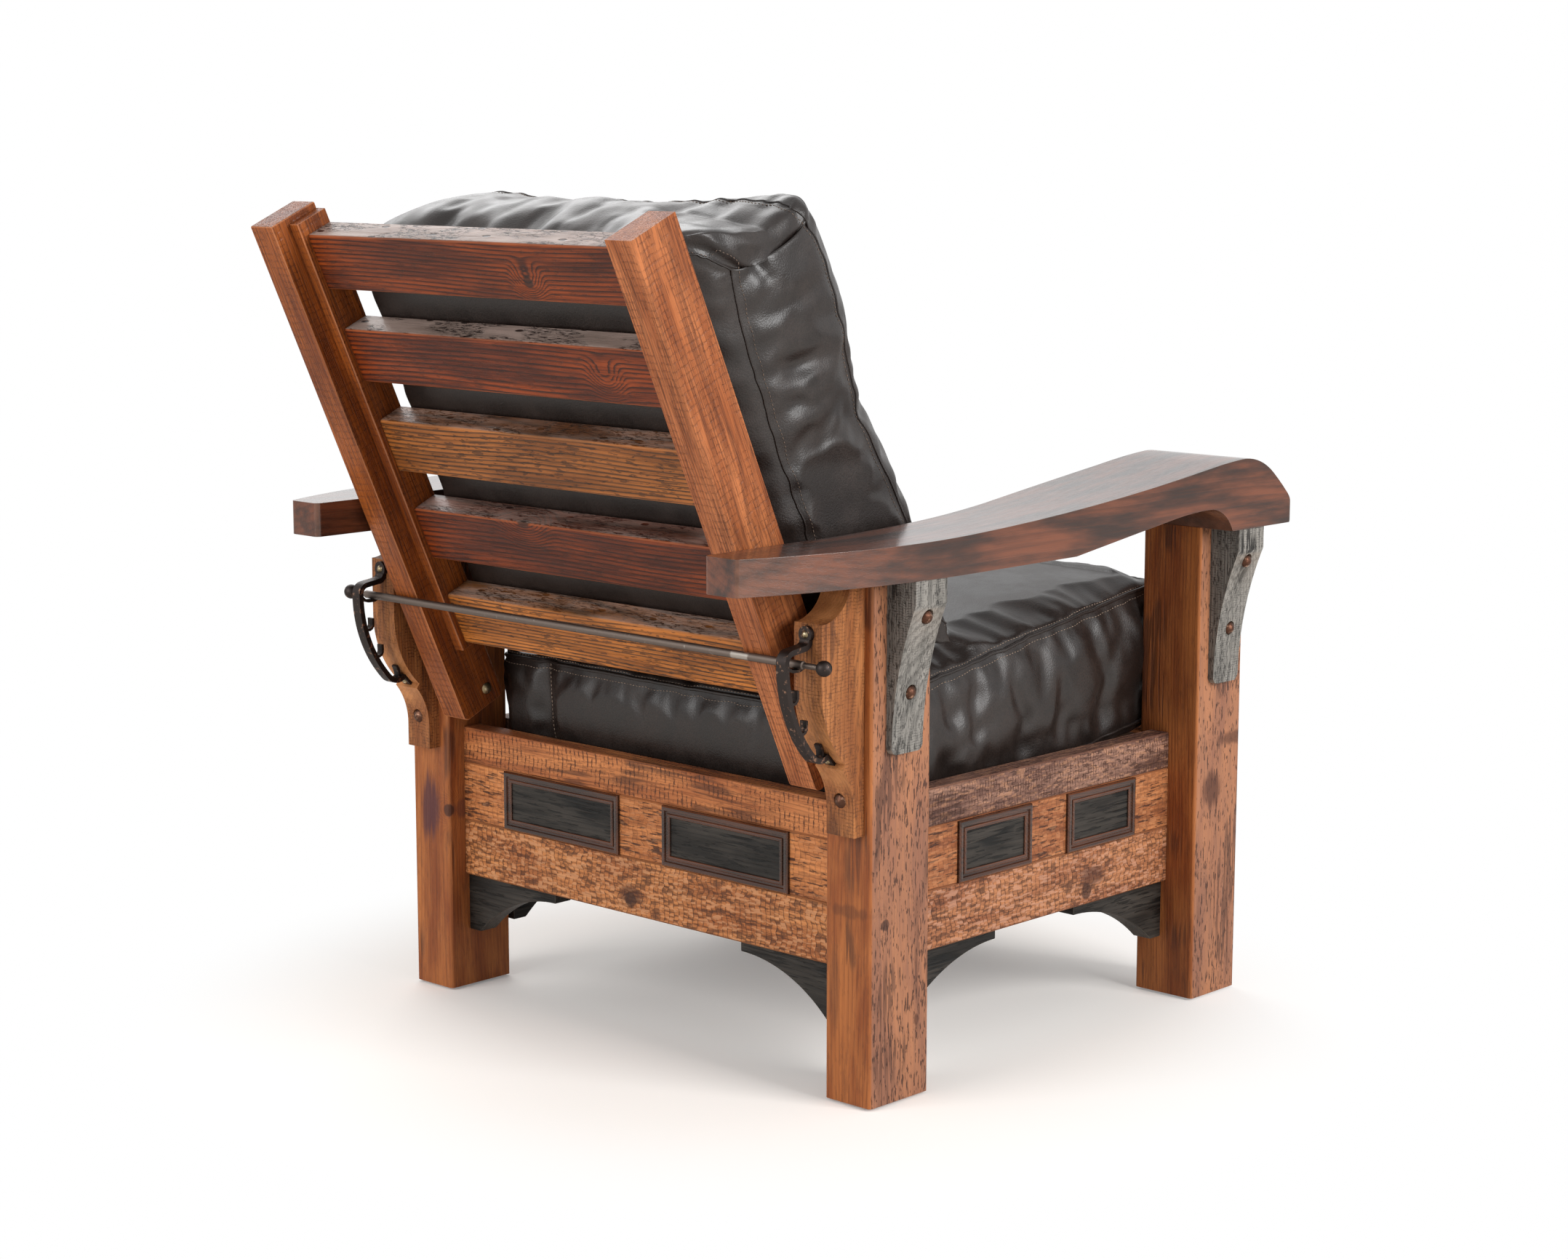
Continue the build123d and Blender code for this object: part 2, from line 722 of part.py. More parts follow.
def strap_point(turn, inward):
    """A point a turn down the strap's long curve, set in from its middle line."""
    angle = math.radians(turn)
    reach = strap_curve_radius - inward
    centre_y, centre_z = strap_centre()
    return (centre_y + reach * math.cos(angle), centre_z - reach * math.sin(angle))


def strap_path():
    """The strap's middle line: out from the ear, over the elbow and down the long curve to the foot."""
    ear_y = block_face + ear_thickness / 2
    neck_z = rod_z + strap_neck_rise
    curve_top = strap_point(0, 0)
    neck_start = (ear_y, neck_z + strap_neck_radius)
    neck_end = (ear_y + strap_neck_radius, neck_z)
    out = TangentArc(neck_start, neck_end, tangent=(0, -1))
    elbow_start = (curve_top[0] - strap_elbow_radius, neck_z - strap_neck_fall)
    neck = Line(neck_end, elbow_start)
    elbow = TangentArc(elbow_start, curve_top, tangent=neck % 1)
    long_curve = TangentArc(curve_top, strap_point(strap_curve_angle, 0), tangent=(0, -1))
    foot = block_curve_place(foot_screw_angle - foot_plate_half_angle, foot_plate_thickness / 2).origin
    curl = TangentArc(long_curve @ 1, (foot.Y, foot.Z), tangent=long_curve % 1)
    return [out, neck, elbow, long_curve, curl]


def hook_lines(turn):
    """One hook: a cup under a notch on the strap's inner side, with a short upright horn."""
    inward = strap_thickness / 2 + hook_clearance + rod_radius
    notch_y, notch_z = strap_point(turn, inward)
    cup = rod_radius + hook_clearance + hook_thickness / 2
    start = (notch_y + cup, notch_z)
    lowest = (notch_y, notch_z - cup)
    side = (notch_y - cup, notch_z)
    return [ThreePointArc(start, lowest, side), Line(side, (side[0] + hook_clearance, notch_z + hook_rise))]


def rest_hook_lines():
    """The top hook, in which the rod lies: a wide cup from the strap to its horn."""
    cup = rod_radius + hook_clearance + hook_thickness / 2
    strap_y = strap_point(0, strap_thickness / 2)[0]
    horn = (rod_y - cup, rod_z)
    lowest = (rod_y, rod_z - cup)
    floor_end = (rod_y + cup, rod_z - cup)
    bowl = TangentArc(lowest, horn, tangent=(-1, 0))
    flank = TangentArc(floor_end, (strap_y, rod_z + hook_clearance), tangent=(1, 0))
    return [flank, Line(floor_end, lowest), bowl]


def last_hook_lines():
    """The bottom horn, rising from the strap's curl at the foot."""
    foot = block_curve_place(foot_screw_angle - foot_plate_half_angle, foot_plate_thickness / 2).origin
    base = (foot.Y + last_hook_base, foot.Z - hook_thickness / 2)
    tip = (base[0] + last_hook_lean, base[1] + last_hook_rise + hook_thickness)
    return [TangentArc(base, tip, tangent=(0, 1))]


def strip(lines, line_width, x_width):
    """A bar of even thickness that follows lines in Y and Z, centred across the block."""
    face = trace(lines, line_width)
    return extrude(Plane.YZ.offset(block_centre_x - x_width / 2) * face, x_width)


def ear_disc():
    """The round ear that holds the rack's upper screw."""
    place = ear_screw_place() * Pos(0, 0, -ear_thickness / 2)
    return place * Cylinder(ear_diameter / 2, ear_thickness)


def foot_plate():
    """The rack's lower ear, bent to the block's nose."""
    first = math.radians(foot_screw_angle - foot_plate_half_angle)
    last = math.radians(foot_screw_angle + foot_plate_half_angle)
    middle = (first + last) / 2
    centre_y = block_face - block_curve_radius

    def ring_point(angle, radius):
        return (centre_y + radius * math.cos(angle), block_face_bottom - radius * math.sin(angle))

    near = block_curve_radius + contact_gap
    far = block_curve_radius + foot_plate_thickness
    outline = [
        ThreePointArc(ring_point(first, near), ring_point(middle, near), ring_point(last, near)),
        Line(ring_point(last, near), ring_point(last, far)),
        ThreePointArc(ring_point(last, far), ring_point(middle, far), ring_point(first, far)),
        Line(ring_point(first, far), ring_point(first, near)),
    ]
    return across(outline, block_centre_x - strap_width / 2, block_centre_x + strap_width / 2)


def make_racks():
    """The left iron rack and its two screws."""
    rack = strip(strap_path(), strap_thickness, strap_width)
    rack += ear_disc()
    rack += foot_plate()
    rack += strip(rest_hook_lines(), hook_thickness, hook_width)
    for turn in hook_angles:
        rack += strip(hook_lines(turn), hook_thickness, hook_width)
    rack += strip(last_hook_lines(), hook_thickness, hook_width)
    rack -= Pos(0, contact_gap, 0) * across(rack_block_outline(), 0, outer_width)
    foot_place = block_curve_place(foot_screw_angle, foot_plate_thickness)
    rack -= screw_hole(ear_screw_place())
    rack -= screw_hole(foot_place)
    pieces["rack_left"] = rack
    ear_screw = fastener(ear_screw_diameter, ear_screw_height, ear_screw_shank, ear_screw_length)
    ear_screw = ear_screw_place() * ear_screw
    foot_screw = fastener(foot_screw_diameter, ear_screw_height, ear_screw_shank, ear_screw_length)
    foot_screw = foot_place * foot_screw
    screws = [ear_screw, foot_screw]
    pieces["rack_screws"] = Compound(screws + [other_side(screw) for screw in screws])


def make_rod():
    """The cross rod behind the back, with its turned necks and ball knobs."""
    axis = Pos(0, rod_y, rod_z) * Rot(0, 90, 0)
    neck_length = knob_reach - rod_body_reach
    rod = Cylinder(rod_radius, 2 * rod_body_reach)
    rod = chamfer(rod.edges(), rod_neck_round)
    for end in (-1, 1):
        neck_centre = end * (rod_body_reach + neck_length / 2)
        rod += Pos(0, 0, neck_centre) * Cylinder(rod_neck_diameter / 2, neck_length)
    pieces["cross_rod"] = axis * rod
    knob = Sphere(knob_diameter / 2)
    bore_radius = rod_neck_diameter / 2 + bolt_hole_clearance
    knob -= Pos(0, 0, contact_gap - knob_diameter / 2) * Cylinder(bore_radius, knob_diameter)
    left = axis * Pos(0, 0, knob_reach) * knob
    pieces["rod_knobs"] = Compound([left, other_side(left)])


def make_back_frame():
    """Stile, cleat and slats of the back, tilted on the pivots."""
    stile = block_between(stile_inner, stile_outer, -stile_front, stile_back, -stile_foot, stile_top)
    low = [edge for edge in stile.edges().filter_by(Axis.X) if edge.center().Z < 0]
    stile = fillet(low, stile_corner_round)
    bore = Pos((stile_inner + stile_outer) / 2, 0, 0) * Rot(0, 90, 0)
    stile -= bore * Cylinder(pivot_pin_diameter / 2 + pivot_running_clearance, stile_width)
    pieces["stile_left"] = back_frame * stile
    cleat = block_between(cleat_inner, stile_inner, -stile_front, cleat_back, cleat_bottom, cleat_top)
    cleat = chamfer(cleat.edges().filter_by(Axis.Z), board_ease)
    pieces["cleat_left"] = back_frame * cleat
    for index in range(slat_count):
        top = slat_top - index * slat_pitch
        slat = block_between(-cleat_inner, cleat_inner, -stile_front, slat_back, top - slat_height, top)
        slat = chamfer(slat.edges().filter_by(Axis.X), slat_ease)
        pieces[f"back_slat_{index + 1}"] = back_frame * slat


def make_pivots():
    """Pivot bolts through the stiles, with a washer between each stile and its post."""
    pin_length = stile_width + stile_gap + pivot_pin_depth + washer_clearance
    seat = Plane(origin=(stile_inner - washer_clearance, pivot_y, pivot_z), z_dir=(-1, 0, 0))
    bolt = seat * fastener(pivot_head_diameter, pivot_head_height, pivot_pin_diameter, pin_length)
    pieces["pivot_bolts"] = Compound([bolt, other_side(bolt)])
    thickness = stile_gap - 2 * washer_clearance
    washer = Cylinder(washer_diameter / 2, thickness)
    washer -= Cylinder(pivot_pin_diameter / 2 + bolt_hole_clearance, thickness)
    washer = Pos(stile_outer + stile_gap / 2, pivot_y, pivot_z) * Rot(0, 90, 0) * washer
    pieces["pivot_washers"] = Compound([washer, other_side(washer)])


def make_deck():
    """Sloping ledgers on the side rails and the slats that carry the seat cushion."""
    deck_top = -deck_clearance
    slat_bottom = deck_top - deck_slat_thickness
    run = deck_rear - deck_front - deck_slat_width
    slats = []
    for index in range(deck_slat_count):
        start = deck_front + run * index / (deck_slat_count - 1)
        end = start + deck_slat_width
        half = deck_slat_half_length
        slat = block_between(-half, half, start, end, slat_bottom, deck_top)
        slats.append(seat_frame * slat)
    pieces["deck_slats"] = Compound(slats)
    inner = side_rail_inner - ledger_width
    y_from = front_post_back + ledger_end_clearance
    y_to = rear_post_front - ledger_end_clearance
    between_posts = block_between(inner, side_rail_inner, y_from, y_to, 0, rail_top)
    low = slat_bottom - ledger_height
    ledger = block_between(inner, side_rail_inner, -outer_depth, outer_depth, low, slat_bottom)
    left = between_posts & (seat_frame * ledger)
    pieces["seat_ledgers"] = Compound([left, other_side(left)])


def drawn_in_plan(half_across, near_edge, far_edge):
    """A plan outline whose two long sides pull in between the corners."""
    middle = (near_edge + far_edge) / 2
    waist = half_across - cushion_draw_in
    return [
        ThreePointArc((half_across, near_edge), (waist, middle), (half_across, far_edge)),
        Line((half_across, far_edge), (-half_across, far_edge)),
        ThreePointArc((-half_across, far_edge), (-waist, middle), (-half_across, near_edge)),
        Line((-half_across, near_edge), (half_across, near_edge)),
    ]


def seat_section(x, crown):
    """The seat cushion cut from front to rear at one X."""
    front = seat_cushion_front
    rear = seat_cushion_rear
    height = seat_cushion_height
    half_height = height / 2
    middle = (front + rear) / 2
    outline = [
        Line((front, 0), (rear, 0)),
        ThreePointArc((rear, 0), (rear + seat_rear_bulge, half_height), (rear, height)),
        ThreePointArc((rear, height), (middle, height + crown), (front, height)),
        ThreePointArc((front, height), (front - seat_front_bulge, half_height), (front, 0)),
    ]
    return Plane.YZ.offset(x) * make_face(outline)


def make_seat_cushion():
    """The seat cushion: crowned on top, bulging in front and drawn in at its sides."""
    sections = []
    for share in cushion_station_shares:
        crown = seat_side_crown + (seat_crown - seat_side_crown) * (1 - share**2)
        sections.append(seat_section(share * cushion_half_width, crown))
    body = loft(sections)
    front = seat_cushion_front - seat_front_bulge
    rear = seat_cushion_rear + seat_rear_bulge
    plan = make_face(drawn_in_plan(cushion_half_width, front, rear))
    body &= extrude(plan, seat_cushion_height + seat_crown)
    pieces["seat_cushion"] = seat_frame * body


def seat_surface_in_back(depth):
    """Height along the back at which the seat cushion's crest lies, a depth in front of the pivots."""
    lean = tilt - slope
    crest = seat_cushion_height + seat_crown + back_cushion_rise
    from_front = pivot_y + end_rail_inner
    from_rest = pivot_z - rail_top - deck_clearance
    origin_height = from_front * math.sin(slope) + from_rest * math.cos(slope)
    return (crest - origin_height - depth * math.sin(lean)) / math.cos(lean)


def back_section(x, swell, top_swell):
    """The back cushion cut from bottom to top at one X, in the frame of the back."""
    rear = -stile_front - back_cushion_gap
    base = -back_cushion_base_depth - swell
    shoulder = (-back_cushion_shoulder_depth - swell / 2, back_cushion_shoulder + top_swell)
    base_point = (base, seat_surface_in_back(-base))
    rear_base = (rear, seat_surface_in_back(-rear))
    rear_top = (rear, back_cushion_back_top)
    crest = (-back_cushion_crest_depth, back_cushion_crest + top_swell)
    chord_middle = ((base_point[0] + shoulder[0]) / 2, (base_point[1] + shoulder[1]) / 2)
    front_middle = (chord_middle[0] - back_cushion_front_crown - swell / 2, chord_middle[1])
    outline = [
        Line(base_point, rear_base),
        Line(rear_base, rear_top),
        ThreePointArc(rear_top, crest, shoulder),
        ThreePointArc(shoulder, front_middle, base_point),
    ]
    return Plane.YZ.offset(x) * make_face(outline)


def make_back_cushion():
    """The back cushion: crowned in front and on top, flat where it rests."""
    sections = []
    for share in cushion_station_shares:
        bow = 1 - share**2
        x = share * cushion_half_width
        sections.append(back_section(x, back_cushion_swell * bow, back_cushion_top_swell * bow))
    body = loft(sections)
    low = seat_surface_in_back(back_cushion_base_depth + back_cushion_swell)
    high = back_cushion_crest + back_cushion_swell
    outline = drawn_in_plan(cushion_half_width, low, high)
    depth = back_cushion_base_depth + 2 * back_cushion_swell + back_cushion_front_crown
    body &= extrude(Plane.XZ * make_face(outline), depth)
    pieces["back_cushion"] = back_frame * body


def mirror_left_pieces():
    """Every left piece has its twin on the right."""
    for name in list(pieces):
        if "left" in name:
            pieces[name.replace("left", "right")] = other_side(pieces[name])


def main():
    """Make all pieces, move them over the origin and write them."""
    make_posts()
    make_glides()
    make_end_rails()
    make_side_rails()
    make_mouldings()
    make_brackets()
    make_arms()
    make_corbels()
    make_rack_blocks()
    make_racks()
    make_rod()
    make_back_frame()
    make_pivots()
    make_deck()
    make_seat_cushion()
    make_back_cushion()
    mirror_left_pieces()
    whole = Compound(list(pieces.values())).bounding_box()
    middle_y = (whole.min.Y + whole.max.Y) / 2
    os.makedirs("parts", exist_ok=True)
    for name, shape in pieces.items():
        export_step(Pos(0, -middle_y, 0) * shape, f"parts/{name}.step")
    print("pieces", len(pieces), "middle_y", round(middle_y, 3))
    print("size", whole.size)
    print("pivot", round(pivot_y - middle_y, 3), pivot_z)
    print("rod", round(rod_y - middle_y, 3), round(rod_z, 3))


main()
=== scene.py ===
"""Looks of a reclining club chair in reclaimed wood and leather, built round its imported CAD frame."""

import json
import math
from functools import partial

import bmesh
import bpy
import numpy as np
from mathutils import Matrix, Vector, noise
from mathutils.bvhtree import BVHTree

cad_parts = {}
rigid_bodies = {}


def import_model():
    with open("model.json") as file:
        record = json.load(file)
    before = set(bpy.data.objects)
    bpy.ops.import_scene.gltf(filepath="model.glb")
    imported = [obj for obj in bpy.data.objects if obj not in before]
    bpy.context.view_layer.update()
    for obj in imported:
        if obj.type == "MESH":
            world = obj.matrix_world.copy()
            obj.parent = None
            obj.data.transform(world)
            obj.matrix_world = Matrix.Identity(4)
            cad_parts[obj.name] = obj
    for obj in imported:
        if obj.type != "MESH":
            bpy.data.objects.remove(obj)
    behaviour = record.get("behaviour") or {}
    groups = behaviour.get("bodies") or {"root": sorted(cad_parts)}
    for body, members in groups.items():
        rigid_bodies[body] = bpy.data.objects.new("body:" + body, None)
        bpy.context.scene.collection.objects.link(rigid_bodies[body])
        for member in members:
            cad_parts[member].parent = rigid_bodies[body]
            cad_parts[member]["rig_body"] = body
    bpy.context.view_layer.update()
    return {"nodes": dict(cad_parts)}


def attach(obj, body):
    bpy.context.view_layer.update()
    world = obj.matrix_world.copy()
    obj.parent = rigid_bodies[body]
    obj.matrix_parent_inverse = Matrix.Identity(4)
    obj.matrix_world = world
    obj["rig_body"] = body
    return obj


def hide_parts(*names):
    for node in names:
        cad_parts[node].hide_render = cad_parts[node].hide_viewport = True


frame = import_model()

bl_info = {
    "name": "Reclaimed wood club chair",
    "version": (1, 0, 0),
    "blender": (4, 5, 0),
    "location": "3D View > Sidebar > Club Chair",
    "description": "Dresses the packed frame of a reclining club chair in wood, leather and iron",
    "category": "Object",
}

MM = 0.001
# CAD points closer than this are one point of the surface
WELD = 0.02 * MM
# Faces nearer than the first angle are one flat face, and edges over the second one get rounded
FLAT_ANGLE = math.radians(0.4)
SHARP_ANGLE = math.radians(28)
BACK_TILT = math.radians(24.4)
SEAT_SLOPE = math.radians(7.64)
PIVOT = Vector((0, 197.545, 396.0)) * MM
SEAT_START = Vector((0, -423.855, 341.7)) * MM

# How a board's own X, its grain, is turned from the chair's axes, in the order X, Y, Z
GRAIN_UP = (0, math.pi / 2, 0)
GRAIN_ACROSS = (0, 0, 0)
GRAIN_ALONG = (0, 0, -math.pi / 2)
GRAIN_BACK = (BACK_TILT, math.pi / 2, 0)
GRAIN_SLAT = (BACK_TILT, 0, 0)

RAIL_BOARDS = ("top", "middle", "bottom")
SIDES = ("left", "right")
ENDS = ("rear", "front")
GRAIN_OF = {"rear": GRAIN_ACROSS, "front": GRAIN_ACROSS, "left": GRAIN_ALONG, "right": GRAIN_ALONG}


def linear(code):
    """A colour written as six hex digits of sRGB, as linear red, green, blue and alpha."""
    parts = [int(code[i : i + 2], 16) / 255 for i in (0, 2, 4)]
    lit = [c / 12.92 if c <= 0.04045 else ((c + 0.055) / 1.055) ** 2.4 for c in parts]
    return (*lit, 1.0)


def add(tree, kind, links=(), out=0, **settings):
    """Adds a node with its settings and its inputs, as values or links, and gives back one of its outputs."""
    made = tree.nodes.new("ShaderNode" + kind)
    for key, value in settings.items():
        setattr(made, key, value)
    for key, value in dict(links).items():
        if isinstance(value, bpy.types.NodeSocket):
            tree.links.new(value, made.inputs[key])
        else:
            made.inputs[key].default_value = value
    return made.outputs[out] if made.outputs else made


def surface(name):
    """An empty material, a short way to add nodes to it, and a piece's own coordinates in millimetres."""
    made = bpy.data.materials.new(name)
    made.use_nodes = True
    made.node_tree.nodes.clear()
    node = partial(add, made.node_tree)
    return made, node, node("VectorMath", {0: node("TexCoord", out=3), 3: 1000.0}, operation="SCALE")


def finish(node, height, inputs, strength=1.0):
    """Ends a material: its relief, whose height is in millimetres, its shader and its output."""
    relief = node("Bump", {"Strength": strength, "Distance": MM, "Height": height})
    node("OutputMaterial", {"Surface": node("BsdfPrincipled", {"Normal": relief, **inputs})})


# ---- Wood ----

# Settings that many nodes share: soft ends, a product, a product and sum, the larger, one colour over another
SOFT = {"interpolation_type": "SMOOTHSTEP"}
TIMES = {"operation": "MULTIPLY"}
SUM = {"operation": "MULTIPLY_ADD"}
MOST = {"operation": "MAXIMUM"}
OVER = {"data_type": "RGBA", "out": 2}


def spots(node, place, sizes_mm, between=None, **settings):
    """Noise whose spots are as long, wide and high as the sizes, or a soft step of it between two bounds."""
    scaled = node("VectorMath", {0: place, 1: [1 / size for size in sizes_mm]}, **TIMES)
    cloud = node("TexNoise", {"Vector": scaled, "Scale": 1.0, **settings})
    return node("MapRange", {0: cloud, 1: between[0], 2: between[1]}, **SOFT) if between else cloud


def wood(
    name, turn, shift=(0, 0, 0), pale="BE8153", body="9A623D", dark="55301F", hollow="3A2018", edge="B87A4C",
    rim="CE966C", old_top="8E7466", stain="47291F", ring_mm=4.5, ring_depth=0.35, pith=(95, 150), fibre_depth=0.35,
    dashes=0.0, dash_mm=(13, 2.6), chips=0.0, saw=0.0, saw_mm=7.5, checks=0.0, rough_side="flat", weathered=0.0,
    knots=(), stains=(), gloss=0.45, edge_wear=0.6, coat=0.0,
):
    """Oiled softwood: rings, fibres and knots, with the dashes, chips and saw marks of old sawn faces."""
    made, node, size_mm = surface(name)
    facing = node("TexCoord", out=1)
    grain = node("Mapping", {"Vector": size_mm, "Location": shift, "Rotation": turn}, vector_type="POINT")
    turned = node("Mapping", {"Vector": facing, "Rotation": turn}, vector_type="POINT")
    flat = node("VectorMath", {0: turned}, operation="ABSOLUTE")
    flat_x, flat_y, flat_z = (node("SeparateXYZ", {0: flat}, out=i) for i in range(3))
    widest = node("Math", {0: flat_y, 1: flat_z}, **MOST)
    widest = node("Math", {0: widest, 1: flat_x}, **MOST)
    lengthwise = node("SeparateXYZ", {0: grain}, out=0)

    # The grain wanders a few centimetres over a board's length
    wander = spots(node, grain, (420, 120, 120), Detail=0.0).node.outputs[1]
    wander = node("VectorMath", {0: wander, 1: (0.5, 0.5, 0.5)}, operation="SUBTRACT")
    bent = node("VectorMath", {0: wander, 1: (0, 40, 40), 2: grain}, **SUM)
    combed = node("VectorMath", {0: wander, 1: (0, 8, 8), 2: grain}, **SUM)
    fibre = spots(node, combed, (130, 1.9, 1.9), Detail=2.0, Roughness=0.6)
    coarse = spots(node, combed, (150, 8, 8), Detail=3.0, Roughness=0.6)

    # Knots push the rings round them
    push = 0.0
    heart = 0.0
    for x, y, z, radius in knots:
        away = node("VectorMath", {0: size_mm, 1: (x, y, z)}, out=1, operation="DISTANCE")
        away = node("Math", {0: coarse, 1: radius * 0.5, 2: away}, **SUM)
        swell = {0: away, 1: 0.0, 2: radius * 5, 3: 1.0, 4: 0.0}
        swell = node("MapRange", swell, interpolation_type="SMOOTHERSTEP")
        push = node("Math", {0: swell, 1: push}, operation="ADD")
        middle = node("MapRange", {0: away, 1: radius * 1.5, 2: radius * 1.15}, **SOFT)
        heart = node("Math", {0: middle, 1: heart}, **MOST)

    # Rings: soft pale early wood that ends in a thin dark late band
    across = node("VectorMath", {0: bent, 1: (0, 1, 1), 2: (0, *pith)}, **SUM)
    from_pith = node("VectorMath", {0: across}, out=1, operation="LENGTH")
    rings = node("Math", {0: push, 1: 30.0, 2: from_pith}, **SUM)
    rings = node("Math", {0: rings, 1: ring_mm}, operation="DIVIDE")
    season = node("Math", {0: rings}, operation="FRACT")
    late = node("MapRange", {0: season, 1: 0.42, 2: 0.94}, **SOFT)
    early = node("MapRange", {0: season, 1: 0.0, 2: 0.1, 3: 0.8, 4: 0.0})
    line = node("Math", {0: late, 1: early}, **MOST)

    # Broad changes of tone along the board, then rings, dark fibres and pale ones
    tone = spots(node, bent, (170, 30, 30), (0.34, 0.66), Detail=4.0, Roughness=0.58)
    colour = node("Mix", {0: tone, 6: linear(body), 7: linear(pale)}, **OVER)
    drawn = node("MapRange", {0: coarse, 1: 0.25, 2: 0.5, 4: ring_depth}, **SOFT)
    drawn = node("Math", {0: line, 1: drawn}, **TIMES)
    streak = node("MapRange", {0: fibre, 1: 0.5, 2: 0.64, 4: fibre_depth}, **SOFT)
    glint = node("MapRange", {0: fibre, 1: 0.45, 2: 0.3, 4: fibre_depth * 0.8}, **SOFT)
    for mask, shade in ((drawn, dark), (streak, dark), (glint, pale)):
        colour = node("Mix", {0: mask, 6: colour, 7: linear(shade)}, **OVER)
    height = node("Math", {0: line, 1: -0.12}, **TIMES)
    height = node("Math", {0: streak, 1: -0.4, 2: height}, **SUM)

    # Old sawn faces: only the broad ones, or only those that look away from the chair
    if rough_side == "outside":
        side = node("SeparateXYZ", {0: size_mm}, out=0)
        side = node("Math", {0: side}, operation="SIGN")
        outward = node("SeparateXYZ", {0: facing}, out=0)
        outward = node("Math", {0: side, 1: outward}, **TIMES)
        rough = node("MapRange", {0: outward, 1: 0.75, 2: 0.95, 3: 0.2, 4: 1.0})
        # Faces that look away from the chair turn a pale grey-brown: dust, and a painted sheen of the light on the
        # outer sides
        dust_and_sheen = node("MapRange", {0: outward, 1: 0.75, 2: 0.95, 3: 0.0, 4: 0.4})
        colour = node("Mix", {0: dust_and_sheen, 6: colour, 7: linear("957767")}, **OVER)
    else:
        rough = node("MapRange", {0: widest, 1: 0.9, 2: 0.99, 3: 0.15, 4: 1.0})

    # Marks of use, each as its masks, its share of colour, its shade and how high it stands in millimetres
    marks = []
    if dashes:
        # Short dark hollows between the fibres, such as a saw tears open
        length, width = dash_mm
        pit = spots(node, combed, (length, width, width), Detail=2.0, Roughness=0.55)
        patch = spots(node, grain, (90, 34, 34), Detail=2.0)
        pit = node("Math", {0: patch, 1: 0.22, 2: pit}, **SUM)
        pit = node("MapRange", {0: pit, 1: 0.69, 2: 0.73}, **SOFT)
        marks.append(((pit, rough), dashes, hollow, -0.5 * dashes))
    if chips:
        # Torn scallops: each stroke of the saw shifts the torn fibres a little
        drift = spots(node, grain, (60, 14, 14), Detail=1.0)
        stroke = node("Math", {0: drift, 1: 16.0, 2: lengthwise}, **SUM)
        stroke = node("Math", {0: stroke, 1: 8.0}, operation="DIVIDE")
        number = node("Math", {0: stroke}, operation="FLOOR")
        jump = node("TexWhiteNoise", {"W": number}, noise_dimensions="1D", out=1)
        moved = node("VectorMath", {0: jump, 1: (0, 5, 5), 2: combed}, **SUM)
        scale = spots(node, moved, (22, 4.2, 4.2), Detail=1.5, Roughness=0.5)
        torn_highlight = node("MapRange", {0: scale, 1: 0.53, 2: 0.62}, **SOFT)
        low = node("MapRange", {0: scale, 1: 0.46, 2: 0.38}, **SOFT)
        slope = node("MapRange", {0: scale, 1: 0.66, 2: 0.5}, **SOFT)
        end = node("Math", {0: stroke}, operation="FRACT")
        end = node("MapRange", {0: end, 1: 0.78, 2: 0.9}, **SOFT)
        # Raised parts of the scales take the rim colour as a painted highlight; low parts and the step at each
        # stroke's end take the hollow colour as painted shade
        marks.append(((torn_highlight, rough), chips * 0.45, rim, 0))
        marks.append(((low, rough), chips * 0.62, hollow, 0))
        marks.append(((end, slope, rough), chips * 0.6, hollow, -0.42 * chips))
        scale = node("Math", {0: scale, 1: rough}, **TIMES)
        height = node("Math", {0: scale, 1: 2.6 * chips, 2: height}, **SUM)
    if saw:
        # Rows of small ticks across the grain, one row for each stroke of the old blade
        stroke = node("Math", {0: tone, 1: 3.0, 2: lengthwise}, **SUM)
        stroke = node("Math", {0: stroke, 1: saw_mm}, operation="DIVIDE")
        stroke = node("Math", {0: stroke}, operation="FRACT")
        stroke = node("MapRange", {0: stroke, 1: 0.55, 2: 0.9}, **SOFT)
        ticks = spots(node, grain, (1.3, 5, 5), (0.48, 0.54), Detail=2.0)
        zone = spots(node, grain, (75, 18, 18), (0.36, 0.5), Detail=1.0)
        marks.append(((stroke, ticks, zone, rough), saw, dark, -0.5))
    if checks:
        # Long drying cracks: the thin line where a slow noise crosses its middle
        rift = spots(node, combed, (190, 9, 9), Detail=1.5)
        rift = node("Math", {0: rift, 1: 0.5}, operation="SUBTRACT")
        rift = node("Math", {0: rift}, operation="ABSOLUTE")
        rift = node("MapRange", {0: rift, 1: 0.09, 2: 0.035}, **SOFT)
        spare = spots(node, grain, (120, 60, 60), (0.53, 0.62), Detail=1.0)
        marks.append(((rift, spare), checks, hollow, -0.9 * checks))
    # Corners take the edge colour: rubbed, brighter wood on most pieces, painted shade along the joints of the
    # rails' boards, and a painted reflection on the rounded edges of the arms
    corner = node("MapRange", {0: widest, 1: 0.985, 2: 0.86, 4: edge_wear}, **SOFT)
    rub = node("Math", {0: tone, 1: 0.5, 2: 0.5}, **SUM)
    marks.append(((corner,), rub, edge, 0))
    for x, y, z, wide, high, depth in stains:
